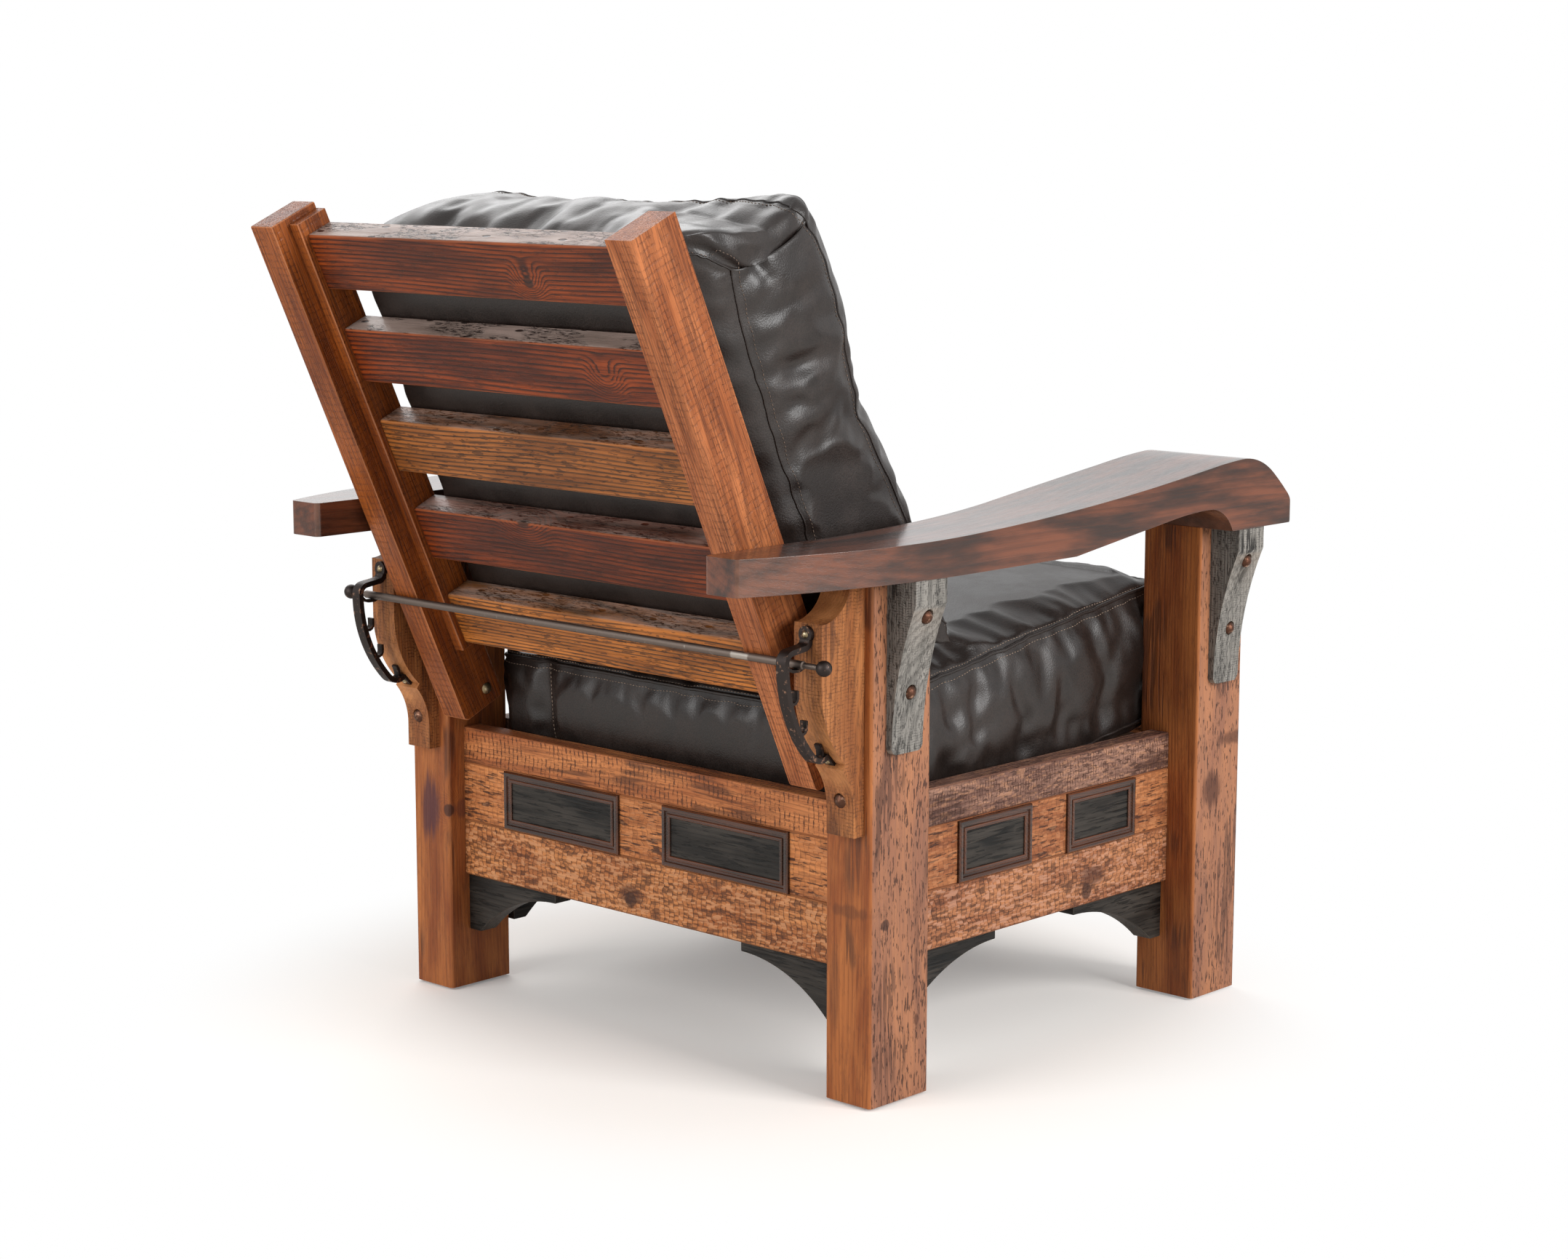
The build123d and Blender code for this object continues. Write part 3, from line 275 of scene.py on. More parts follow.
        # A dark patch with a ragged edge
        spot = node("VectorMath", {0: size_mm, 1: (x, y, z)}, operation="SUBTRACT")
        spot = node("VectorMath", {0: spot, 1: (1 / wide, 1 / wide, 1 / high)}, **TIMES)
        spot = node("VectorMath", {0: spot}, out=1, operation="LENGTH")
        spot = node("Math", {0: coarse, 1: 1.6, 2: spot}, **SUM)
        spot = node("MapRange", {0: spot, 1: 1.95, 2: 1.35}, **SOFT)
        marks.append(((spot,), depth, stain, 0))
    if knots:
        marks.append(((heart,), 0.8, hollow, -0.3))
    for masks, share, shade, rise in marks:
        mask = masks[0]
        for other in masks[1:]:
            mask = node("Math", {0: mask, 1: other}, **TIMES)
        share = node("Math", {0: mask, 1: share}, **TIMES)
        colour = node("Mix", {0: share, 6: colour, 7: linear(shade)}, **OVER)
        height = node("Math", {0: mask, 1: rise, 2: height}, **SUM)

    if weathered:
        # The old outer edge of each slat: grey from weather and lightened as painted sheen, checked along the grain,
        # with nail holes
        top = node("SeparateXYZ", {0: turned}, out=2)
        top = node("MapRange", {0: top, 1: 0.8, 2: 0.97, 3: 0.0, 4: weathered})
        weather_grey_and_sheen = node("Mix", {0: tone, 6: linear(old_top), 7: linear("B09C92")}, **OVER)
        check = spots(node, grain, (13, 2.0, 2.0), (0.52, 0.58), Detail=4.0, Roughness=0.65, Distortion=0.8)
        worn = spots(node, grain, (70, 30, 30), (0.4, 0.5), Detail=1.0)
        check = node("Math", {0: check, 1: worn}, **TIMES)
        nail = node("VectorMath", {0: grain, 1: (1 / 92, 1 / 38, 0.0)}, **TIMES)
        nail = {"Vector": nail, "Scale": 1.0, "Randomness": 0.75}
        nail = node("TexVoronoi", nail, voronoi_dimensions="2D")
        nail = node("MapRange", {0: nail, 1: 0.085, 2: 0.05}, **SOFT)
        check = node("Math", {0: check, 1: nail}, **MOST)
        weather_grey_and_sheen = node("Mix", {0: check, 6: weather_grey_and_sheen, 7: linear("1F1613")}, **OVER)
        colour = node("Mix", {0: top, 6: colour, 7: weather_grey_and_sheen}, **OVER)
        check = node("Math", {0: check, 1: top}, **TIMES)
        height = node("Math", {0: check, 1: -1.2, 2: height}, **SUM)

    shine = node("MapRange", {0: fibre, 1: 0.3, 2: 0.8, 3: gloss, 4: gloss + 0.18})
    lacquer = {"Coat Weight": coat, "Coat Roughness": 0.14, "Specular IOR Level": 0.22}
    finish(node, height, {"Base Color": colour, "Roughness": shine, **lacquer})
    return made


# ---- Leather and metal ----


def leather(name, hide, worn_hide, gloss):
    """Dark pigmented hide: a fine pebbled grain with a soft, slightly uneven shine."""
    made, node, size_mm = surface(name)
    # Grain cells of 2.0 mm, about twice the real ones so that they show
    cell = node("VectorMath", {0: size_mm, 3: 1 / 2.0}, operation="SCALE")
    bend = spots(node, size_mm, (6, 6, 6), Detail=1.0).node.outputs[1]
    cell = node("VectorMath", {0: bend, 1: (0.9, 0.9, 0.9), 2: cell}, **SUM)
    pebble = node("TexVoronoi", {"Vector": cell, "Scale": 1.0, "Smoothness": 0.6}, feature="SMOOTH_F1")
    fine = spots(node, size_mm, (1.3, 1.3, 1.3), Detail=2.0)
    mottle = spots(node, size_mm, (55, 55, 55), (0.36, 0.66), Detail=4.0, Roughness=0.62)
    colour = node("Mix", {0: mottle, 6: hide, 7: worn_hide}, **OVER)
    # The creases between the grain's cells are painted darker: painted shade
    crease_shade = node("MapRange", {0: pebble, 1: 0.45, 2: 0.7, 4: 0.55}, **SOFT)
    colour = node("Mix", {0: crease_shade, 6: colour, 7: linear("140E0C")}, **OVER)
    height = node("Math", {0: pebble, 1: -0.16}, **TIMES)
    height = node("Math", {0: fine, 1: 0.08, 2: height}, **SUM)
    shine = node("MapRange", {0: mottle, 1: 0.0, 2: 1.0, 3: gloss, 4: gloss + 0.08})
    finish(node, height, {"Base Color": colour, "Roughness": shine, "IOR": 1.46}, strength=0.9)
    return made


def metal(name, base, rubbed, gloss, hammer_mm, hammer_depth, worn=(0.5, 0.66), bands=()):
    """Patinated metal: dark in the hollows and rubbed brighter on its high parts, with hammer marks."""
    made, node, size_mm = surface(name)
    dent = node("VectorMath", {0: size_mm, 3: 1 / hammer_mm}, operation="SCALE")
    dent = node("TexVoronoi", {"Vector": dent, "Scale": 1.0, "Smoothness": 1.0}, feature="SMOOTH_F1")
    cloud = spots(node, size_mm, (7, 7, 7), Detail=4.0, Roughness=0.6)
    patch = node("MapRange", {0: cloud, 1: worn[0], 2: worn[1]}, **SOFT)
    for near, far in bands:
        # A ring rubbed bright between two distances along the piece, with ragged ends
        reach = node("SeparateXYZ", {0: size_mm}, out=0)
        reach = node("Math", {0: reach, 1: -1.0}, **TIMES)
        reach = node("Math", {0: cloud, 1: 6.0, 2: reach}, **SUM)
        start = node("MapRange", {0: reach, 1: near, 2: near + 3}, **SOFT)
        stop = node("MapRange", {0: reach, 1: far + 3, 2: far}, **SOFT)
        band = node("Math", {0: start, 1: stop}, **TIMES)
        patch = node("Math", {0: patch, 1: band}, **MOST)
    colour = node("Mix", {0: patch, 6: linear(base), 7: linear(rubbed)}, **OVER)
    shine = node("MapRange", {0: patch, 1: 0.0, 2: 1.0, 3: gloss + 0.14, 4: gloss})
    height = node("Math", {0: dent, 1: -hammer_depth}, **TIMES)
    height = node("Math", {0: cloud, 1: 0.15, 2: height}, **SUM)
    finish(node, height, {"Base Color": colour, "Metallic": 1.0, "Roughness": shine})
    return made


# ---- Pieces made from the CAD nodes ----


def dress(node, material):
    """A CAD node whose shape is right keeps its mesh and gets its finish."""
    held = frame["nodes"][node].data.materials
    held.clear()
    held.append(material)


def body_of(node):
    """The CAD body of a node."""
    return frame["nodes"][node]["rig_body"]


def settle(mesh, name, node, material, stands_for_it=True):
    """Puts a finished mesh in the scene for a CAD node, on its body and in its slot."""
    made = bpy.data.objects.new(name, mesh)
    bpy.context.scene.collection.objects.link(made)
    mesh.materials.clear()
    mesh.materials.append(material)
    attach(made, body_of(node))
    if stands_for_it:
        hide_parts(node)
    return made


def ease(node, material, width_mm, segments=3):
    """A copy of a CAD node with its sharp edges rounded, which stands for it."""
    bm = bmesh.new()
    bm.from_mesh(frame["nodes"][node].data)
    bmesh.ops.remove_doubles(bm, verts=bm.verts, dist=WELD)
    bmesh.ops.dissolve_limit(
        bm, angle_limit=FLAT_ANGLE, use_dissolve_boundaries=False, verts=bm.verts, edges=bm.edges
    )
    sharp = [edge for edge in bm.edges if len(edge.link_faces) == 2 and edge.calc_face_angle() > SHARP_ANGLE]
    bmesh.ops.bevel(
        bm, geom=sharp, offset=width_mm * MM, offset_type="OFFSET", affect="EDGES", segments=segments,
        profile=0.5, material=-1, clamp_overlap=True,
    )
    for face in bm.faces:
        face.smooth = True
    mesh = bpy.data.meshes.new(f"{node}_eased")
    bm.to_mesh(mesh)
    bm.free()
    made = settle(mesh, f"{node}_eased", node, material)
    corners = made.modifiers.new("Flat faces stay flat", "WEIGHTED_NORMAL")
    corners.mode = "FACE_AREA"
    corners.keep_sharp = False
    return made


# ---- Cushions ----

# Size of a cushion's cloth mesh, how far it starts inside its seams, how near to them it is held, how far it
# may swell, and for how many frames it is filled
VOXEL_MM = 7.0
SLACK_MM = 5
SEAM_HELD_MM = 12.0
SWELL_MM = 26.0
FILL_FRAMES = 20

# Distance between the places of a row of stitches
STITCH_STEP_MM = 5.5

# Axes of the cushions in millimetres: X across, Y towards the chair's rear, Z up off the seat or along the back
SEAT_PLACE = Matrix.Translation(SEAT_START) @ Matrix.Rotation(-SEAT_SLOPE, 4, "X") @ Matrix.Scale(MM, 4)
BACK_PLACE = Matrix.Translation(PIVOT) @ Matrix.Rotation(-BACK_TILT, 4, "X") @ Matrix.Scale(MM, 4)


def ring(left, middle, corner, last):
    """A closed seam with equal sides: up the left one, over a middle point, down the right one and back."""
    right = [(-x, y, z) for x, y, z in reversed(left)]
    other = (-corner[0], *corner[1:])
    return (*left, middle, *right, other, last, corner, left[0])


# Seams of the seat cushion: round its top edge, round its bottom edge, and one down its rear
SEAT_WELTS = (
    ring(
        ((-300, 560, 168), (-300, 422, 167), (-300, 220, 173), (-300, 9, 179), (-298, -42, 180), (-285, -52, 181)),
        (0, -57, 182), (-286, 572, 170), (0, 576, 169),
    ),
    ring(
        ((-299, 556, 12), (-296, 250, 10), (-298, -36, 12), (-285, -50, 14)),
        (0, -52, 12), (-286, 568, 14), (0, 571, 12),
    ),
)
SEAT_LINES = (((207, 572, 166), (207, 577, 90), (207, 572, 14)),)
SEAT_FOLDS = (
    (((-300, 417, 103), (-300, 375, 122), (-300, 319, 130)), 4.0, 15),
    (((-300, 408, 66), (-300, 352, 84), (-300, 306, 103)), 4.5, 13),
    (((-300, 272, 58), (-300, 233, 92)), 3.0, 12),
    (((-300, 202, 48), (-300, 165, 82)), 3.5, 12),
    (((-300, 92, 92), (-300, 60, 140)), 3.5, 11),
    (((-300, 30, 92), (-300, 46, 150)), 3.0, 10),
    (((-300, -20, 60), (-300, 10, 140)), 3.0, 12),
    (((-240, -55, 60), (-262, -55, 140)), 3.5, 13),
    (((-150, -57, 40), (-120, -57, 110)), 2.5, 16),
    (((60, -57, 50), (100, -57, 130)), 2.5, 15),
    (((40, 576, 60), (70, 576, 120)), 2.5, 13),
    (((-60, 576, 50), (-40, 576, 130)), 3.0, 14),
    (((120, 576, 40), (135, 576, 130)), 3.0, 12),
    (((-200, 576, 40), (-170, 576, 130)), 3.0, 14),
)

# Seams of the back cushion: round the panel at its rear, and round its front
BACK_WELTS = (
    ring(
        (
            (-300, -79, 70), (-300, -79, 230), (-300, -78, 330), (-300, -79, 401), (-300, -82, 479),
            (-300, -91, 545), (-300, -97, 561), (-300, -84, 572), (-300, -48, 594), (-294, -28, 602),
        ),
        (0, -24, 606), (-290, -40, 76), (0, -24, 82),
    ),
    ring(
        (
            (-300, -242, 24), (-300, -243, 100), (-300, -238, 176), (-300, -226, 262), (-300, -221, 316),
            (-300, -225, 375), (-300, -229, 417), (-300, -230, 489), (-300, -220, 552), (-296, -206, 582),
            (-270, -212, 592),
        ),
        (0, -222, 598), (-280, -262, 12), (0, -285, 0),
    ),
)
# Folds, each with its path, its depth and its width: first those that lie in the left side face
SIDE_FOLDS = (
    (((-36, 612), (-73, 597), (-104, 575), (-123, 551), (-129, 528)), 11.0, 8),
    (((-64, 590), (-96, 568), (-112, 552)), -4.0, 6),
    (((-99, 491), (-134, 487), (-188, 488)), 4.5, 13),
    (((-117, 427), (-145, 413), (-166, 407)), 3.5, 12),
    (((-96, 398), (-135, 371), (-169, 368), (-208, 362)), 4.5, 12),
    (((-119, 317), (-160, 317), (-191, 322), (-219, 337)), 4.5, 11),
    (((-86, 283), (-140, 271), (-186, 263), (-225, 259)), 4.5, 12),
    (((-188, 269), (-208, 277)), 3.0, 9),
    (((-224, 249), (-189, 237)), 4.0, 9),
    (((-37, 342), (-67, 339)), 2.5, 7),
    (((-36, 314), (-64, 303)), 2.5, 7),
    (((-90, 190), (-150, 180), (-215, 205)), 4.0, 13),
    (((-110, 110), (-190, 90)), 4.0, 13),
)
BACK_FOLDS = (
    *(([(-300, *spot) for spot in path], depth, width) for path, depth, width in SIDE_FOLDS),
    (((-300, -180, 560), (-300, -150, 590), (-270, -120, 622)), 4.0, 12),
    (((-300, -215, 560), (-285, -190, 600)), 4.0, 9),
    (((-300, -225, 322), (-280, -240, 318), (-240, -262, 316)), 5.0, 16),
    (((-300, -240, 250), (-285, -266, 240)), 5.0, 14),
    (((-300, -254, 40), (-300, -250, 10)), -6.0, 22),
    (((-296, -185, 592), (-292, -205, 580)), -7.0, 30),
    (((-240, -60, 627), (-215, -180, 612)), 3.5, 13),
    (((-90, -40, 615), (-60, -170, 620)), 3.0, 15),
    (((-20, -50, 622), (10, -160, 622)), 2.5, 13),
    (((80, -40, 618), (110, -150, 624)), 3.0, 13),
    (((170, -50, 620), (205, -170, 614)), 3.5, 12),
    (((-180, -270, 120), (-120, -290, 60)), 5.0, 18),
    (((170, -270, 110), (110, -290, 60)), 5.0, 18),
    (((-120, -280, 520), (-40, -290, 470)), 3.5, 20),
    (((150, -280, 500), (60, -290, 450)), 3.5, 20),
)


def numbers(mesh, kind):
    """The places or normals of a mesh's points as rows of three numbers."""
    held = np.empty(len(mesh.vertices) * 3)
    mesh.vertices.foreach_get(kind, held)
    return held.reshape(-1, 3)


def place_points(mesh, points):
    """Moves a mesh's points."""
    mesh.vertices.foreach_set("co", points.ravel())
    mesh.update()


def relax(points, pairs, rounds, share=0.5):
    """Draws points towards the middle of their neighbours."""
    count = np.bincount(pairs.ravel(), minlength=len(points))[:, None]
    for _ in range(rounds):
        total = np.zeros_like(points)
        np.add.at(total, pairs[:, 0], points[pairs[:, 1]])
        np.add.at(total, pairs[:, 1], points[pairs[:, 0]])
        points = points + share * (total / count - points)
    return points


def near_path(points, path):
    """How far each point is from a path, and the share of the path's length to its nearest place."""
    stops = np.array(path, dtype=float)
    lengths = np.linalg.norm(np.diff(stops, axis=0), axis=1)
    starts = np.concatenate(([0.0], np.cumsum(lengths)))
    best = np.full(len(points), 1e9)
    along = np.zeros(len(points))
    for first, second, length, start in zip(stops, stops[1:], lengths, starts):
        run = second - first
        share = np.clip(((points - first) @ run) / length**2, 0, 1)
        far = np.linalg.norm(points - first - share[:, None] * run, axis=1)
        closer = far < best
        best[closer] = far[closer]
        along[closer] = ((start + share * length) / starts[-1])[closer]
    return best, along


def step(value, low, high):
    """0 below one bound and 1 above the other, with soft ends."""
    share = np.clip((value - low) / (high - low), 0, 1)
    return share * share * (3 - 2 * share)


def waves(points, sizes, seed):
    """Noise from -1 to 1 whose swells are as long, wide and high as the sizes."""
    spread = points / np.array(sizes) + seed
    return np.array([noise.noise(row) for row in spread.tolist()])


def bake_modifiers(made):
    """Keeps the shape that an object's modifiers give it, and takes them off."""
    held = made.evaluated_get(bpy.context.evaluated_depsgraph_get())
    shaped = bpy.data.meshes.new_from_object(held)
    made.modifiers.clear()
    old = made.data
    name = old.name
    made.data = shaped
    bpy.data.meshes.remove(old)
    shaped.name = name


def both_sides(paths):
    """Folds of the left face, and the same a little shifted on the right face."""
    for path, depth, width in paths:
        yield path, depth, width
        if all(x < -280 for x, y, z in path):
            yield [(-x, y + 6, z - 9) for x, y, z in path], depth * 0.9, width


def blow_up(made, seam_far, pressure, growth):
    """Fills a cushion like a bag of cloth whose seams are held."""
    held = made.vertex_groups.new(name="seams")
    for index in np.nonzero(seam_far < SEAM_HELD_MM)[0].tolist():
        held.add([index], 1.0, "REPLACE")
    stuffing = made.modifiers.new("Stuffing", "CLOTH")
    settings = stuffing.settings
    settings.quality = 3
    settings.use_pressure = True
    settings.uniform_pressure_force = pressure
    settings.shrink_min = -growth
    settings.vertex_group_mass = "seams"
    settings.tension_stiffness = 15
    settings.compression_stiffness = 15
    settings.shear_stiffness = 5
    settings.bending_stiffness = 1.5
    settings.effector_weights.gravity = 0
    stuffing.collision_settings.use_collision = False
    stuffing.point_cache.frame_start = 1
    stuffing.point_cache.frame_end = FILL_FRAMES
    scene = bpy.context.scene
    for frame_number in range(1, FILL_FRAMES + 1):
        scene.frame_set(frame_number)
    bake_modifiers(made)
    scene.frame_set(1)
    made.vertex_groups.clear()


def stuffed(node, material, place, seams, folds, ripples, proud, shape):
    """The soft form of a CAD cushion: filled as cloth, creased, and kept clear of what it touches."""
    bm = bmesh.new()
    bm.from_mesh(frame["nodes"][node].data)
    bmesh.ops.remove_doubles(bm, verts=bm.verts, dist=WELD)
    solid = BVHTree.FromBMesh(bm)
    bmesh.ops.transform(bm, matrix=place.inverted(), verts=bm.verts)
    mesh = bpy.data.meshes.new(f"{node}_leather")
    bm.to_mesh(mesh)
    bm.free()
    made = settle(mesh, f"{node}_leather", node, material)
    # The remesh runs at the cushion's own size in metres and is turned to millimetres after it
    mesh.transform(Matrix.Scale(MM, 4))
    mesh.remesh_voxel_size = VOXEL_MM * MM
    mesh.remesh_voxel_adaptivity = 0
    with bpy.context.temp_override(object=made, active_object=made, selected_objects=[made]):
        bpy.ops.object.voxel_remesh()
    mesh = made.data
    pairs = np.empty(len(mesh.edges) * 2, dtype=np.int64)
    mesh.edges.foreach_get("vertices", pairs)
    pairs = pairs.reshape(-1, 2)
    points = relax(numbers(mesh, "co"), pairs, 14)
    place_points(mesh, points)
    points = points - numbers(mesh, "normal") * SLACK_MM * MM
    place_points(mesh, points)
    seam_far = np.full(len(points), 1e9)
    for path in seams:
        seam_far = np.minimum(seam_far, near_path(points / MM, path)[0])
    blow_up(made, seam_far, 4.0, 0.03)
    mesh = made.data
    swollen = numbers(mesh, "co")
    move = swollen - points
    far = np.linalg.norm(move, axis=1)
    move *= (np.minimum(far, SWELL_MM * MM) / np.maximum(far, 1e-9))[:, None]
    place_points(mesh, relax(points + move, pairs, 1))

    finer = made.modifiers.new("Finer", "SUBSURF")
    finer.levels = 1
    finer.render_levels = 1
    bake_modifiers(made)
    mesh = made.data
    points = numbers(mesh, "co") / MM
    normals = numbers(mesh, "normal")
    push = np.zeros(len(points))
    # A fold is a groove with a low swell on each side, and a seam draws in a narrow and a broad one
    for path, depth, width in both_sides(folds):
        far, along = near_path(points, path)
        ends = np.sqrt(np.sin(np.pi * np.clip(along, 0.04, 0.96)))
        push -= depth * ends * (np.exp(-((far / width) ** 2)) - 0.35 * np.exp(-((far / width / 2.2) ** 2)))
    for path in seams:
        far, along = near_path(points, path)
        push -= 3.2 * np.exp(-((far / 3.6) ** 2)) + 3.0 * np.exp(-((far / 16) ** 2))
    for sizes, depth, seed, where in ripples:
        push += depth * waves(points, sizes, seed) * where(*points.T)
    points = points + normals * push[:, None]
    points += shape(*points.T)

    # No point stands further out of the CAD solid than its place allows
    world = points @ np.array(place.to_3x3()).T + np.array(place.translation)
    limits = proud(*points.T, world[:, 2] / MM) * MM
    for index, (row, limit) in enumerate(zip(world.tolist(), limits.tolist())):
        hit, normal, face, far = solid.find_nearest(row)
        out = (Vector(row) - hit).dot(normal)
        far = far if out > 0 else -far
        if far > limit:
            world[index] = hit + normal * limit
    place_points(mesh, world)
    for polygon in mesh.polygons:
        polygon.use_smooth = True
    mesh.update()
    return made


def traced(made, path, place, step_mm, lift_mm, closed=False):
    """A path laid on a finished cushion, as evenly spaced places with the surface's normals."""
    stops = np.array(path, dtype=float)
    lengths = np.linalg.norm(np.diff(stops, axis=0), axis=1)
    starts = np.concatenate(([0.0], np.cumsum(lengths)))
    count = int(starts[-1] / step_mm)
    at = np.linspace(0, starts[-1], count + 1)
    line = np.stack([np.interp(at, starts, stops[:, i]) for i in range(3)], axis=1)
    if closed:
        line = line[:-1]
    pairs = np.array([(i, (i + 1) % len(line)) for i in range(len(line) - (0 if closed else 1))])
    ends = line[[0, -1]].copy()
    line = relax(line, pairs, 10)
    if not closed:
        line[[0, -1]] = ends
    tree = BVHTree.FromPolygons([v.co for v in made.data.vertices], [p.vertices for p in made.data.polygons])
    laid = []
    for row in line:
        hit, normal, face, far = tree.find_nearest(place @ Vector(row))
        laid.append((hit + normal * lift_mm * MM, normal))
    return laid


def line_through(name, laid):
    """A curve through a laid path, as an object of the scene."""
    line = bpy.data.curves.new(name, "CURVE")
    line.dimensions = "3D"
    run = line.splines.new("POLY")
    run.points.add(len(laid) - 1)
    for point, (spot, normal) in zip(run.points, laid):
        point.co = (*spot, 1)
    drawn = bpy.data.objects.new(name, line)
    bpy.context.scene.collection.objects.link(drawn)
    return drawn


def drop(held, kind):
    """Takes an object and its data out of the file."""
    data = held.data
    bpy.data.objects.remove(held)
    kind.remove(data)


def cord_along(node, name, material, laid, radius_mm):
    """A sewn cord that lies in a closed seam."""
    drawn = line_through(name, laid)
    drawn.data.bevel_depth = radius_mm * MM
    drawn.data.bevel_resolution = 2
    drawn.data.use_fill_caps = True
    drawn.data.splines[0].use_cyclic_u = True
    mesh = bpy.data.meshes.new_from_object(drawn.evaluated_get(bpy.context.evaluated_depsgraph_get()))
    drop(drawn, bpy.data.curves)
    for polygon in mesh.polygons:
        polygon.use_smooth = True
    return settle(mesh, name, node, material, stands_for_it=False)


def stitches_along(node, name, material, rows):
    """Short raised stitches along rows of places, joined in one mesh."""
    bm = bmesh.new()
    for laid in rows:
        stitch = bpy.data.meshes.new(name)
        one = bmesh.new()
        bmesh.ops.create_uvsphere(one, u_segments=5, v_segments=4, radius=0.5 * MM)
        bmesh.ops.rotate(one, matrix=Matrix.Rotation(math.pi / 2, 3, "Y"), verts=one.verts)
        bmesh.ops.scale(one, vec=(3.6, 1.1, 1.0), verts=one.verts)
        one.to_mesh(stitch)
        one.free()
        row = bpy.data.objects.new(name, stitch)
        bpy.context.scene.collection.objects.link(row)
        guide = line_through(name, laid)
        repeat = row.modifiers.new("One after another", "ARRAY")
        repeat.fit_type = "FIT_CURVE"
        repeat.curve = guide
        repeat.use_relative_offset = False
        repeat.use_constant_offset = True
        repeat.constant_offset_displace = (5.2 * MM, 0, 0)
        bend = row.modifiers.new("Along the seam", "CURVE")
        bend.object = guide
        bake_modifiers(row)
        bm.from_mesh(row.data)
        drop(row, bpy.data.meshes)
        drop(guide, bpy.data.curves)
    for face in bm.faces:
        face.smooth = True
    mesh = bpy.data.meshes.new(name)
    bm.to_mesh(mesh)
    bm.free()
    return settle(mesh, name, node, material, stands_for_it=False)


def shifted(path, y_mm, z_mm):
    """A seam's path moved on its cushion, for its row of stitches."""
    return [(x, y + y_mm, z + z_mm) for x, y, z in path]


# ---- Settings ----


# What the settings of one kind share
LENGTH = {"unit": "LENGTH", "subtype": "DISTANCE"}
COLOUR = {"subtype": "COLOR", "size": 4, "min": 0, "max": 1}


class ChairWood(bpy.types.PropertyGroup):
    edge_round: bpy.props.FloatProperty(
        name="Edge round",
        description="Radius worn on the edges of boards and slats",
        default=1.4 * MM,
        min=0.1 * MM,
        max=6 * MM,
        **LENGTH,
    )
    arm_round: bpy.props.FloatProperty(
        name="Arm edge round",
        description="Radius of the arms' long edges",
        default=6.0 * MM,
        min=0.5 * MM,
        max=10 * MM,
        **LENGTH,
    )


class ChairLeather(bpy.types.PropertyGroup):
    hide: bpy.props.FloatVectorProperty(
        name="Leather", description="Main colour of the leather", default=linear("1B1411"), **COLOUR
    )
    worn_hide: bpy.props.FloatVectorProperty(
        name="Worn leather",
        description="Colour of the leather where it is rubbed",
        default=linear("281F1B"),
        **COLOUR,
    )
    gloss: bpy.props.FloatProperty(
        name="Leather roughness",
        description="Roughness of the leather's smoothest parts",
        default=0.34,
        min=0.1,
        max=1.0,
        subtype="FACTOR",
    )


class ChairStage(bpy.types.PropertyGroup):
    floor: bpy.props.FloatVectorProperty(
        name="Floor", description="Colour of the floor", default=linear("F4F0EB"), **COLOUR
    )


# ---- Operators ----


class CHAIR_OT_posts(bpy.types.Operator):
    """Dresses the four posts and their glides"""

    bl_idname = "chair.posts"
    bl_label = "Posts"

    def execute(self, context):
        # Knots and dark patches that single posts show, in millimetres: x, y, z and size
        marks = {
            "rear_right": {
                "knots": ((-392, 200, 212, 6),),
                "stains": ((-360, 223, 226, 34, 8, 0.4), (-392, 145, 92, 5, 7, 0.7), (-338, 223, 130, 8, 60, 0.4)),
            },
            "rear_left": {
                "knots": ((326, 223, 236, 7),),
                "stains": ((360, 224, 236, 20, 46, 0.85), (330, 200, 236, 24, 12, 0.5)),
                "stain": "4A2A30",
            },
            "front_right": {"stains": ((-392, -420, 270, 22, 26, 0.8), (-392, -480, 330, 60, 10, 0.7))},
            "front_left": {},
        }
        # Reclaimed softwood timber, oiled: outer faces keep the torn dashes of the old saw and a pale bloom that is
        # dust and painted sheen, and drying has opened long cracks
        for index, (end, side) in enumerate((e, s) for e in ENDS for s in SIDES):
            timber = wood(
                f"barn_wood_post_{end}_{side}", GRAIN_UP, shift=(137 * index, 61 * index, 43 * index),
                pale="AE6938", body="834523", dark="5A3220", hollow="3E2720", edge="B06F42", edge_wear=0.4,
                ring_depth=0.2, dashes=0.85, checks=0.6, rough_side="outside", **marks[f"{end}_{side}"],
            )
            dress(f"post_{end}_{side}", timber)
        # Moulded black plastic: dull and nearly even
        plastic = wood("black_glide_plastic", GRAIN_UP, pale="1A1A1A", body="151515", dark="101010", gloss=0.6)
        dress("foot_glides", plastic)
        return {"FINISHED"}


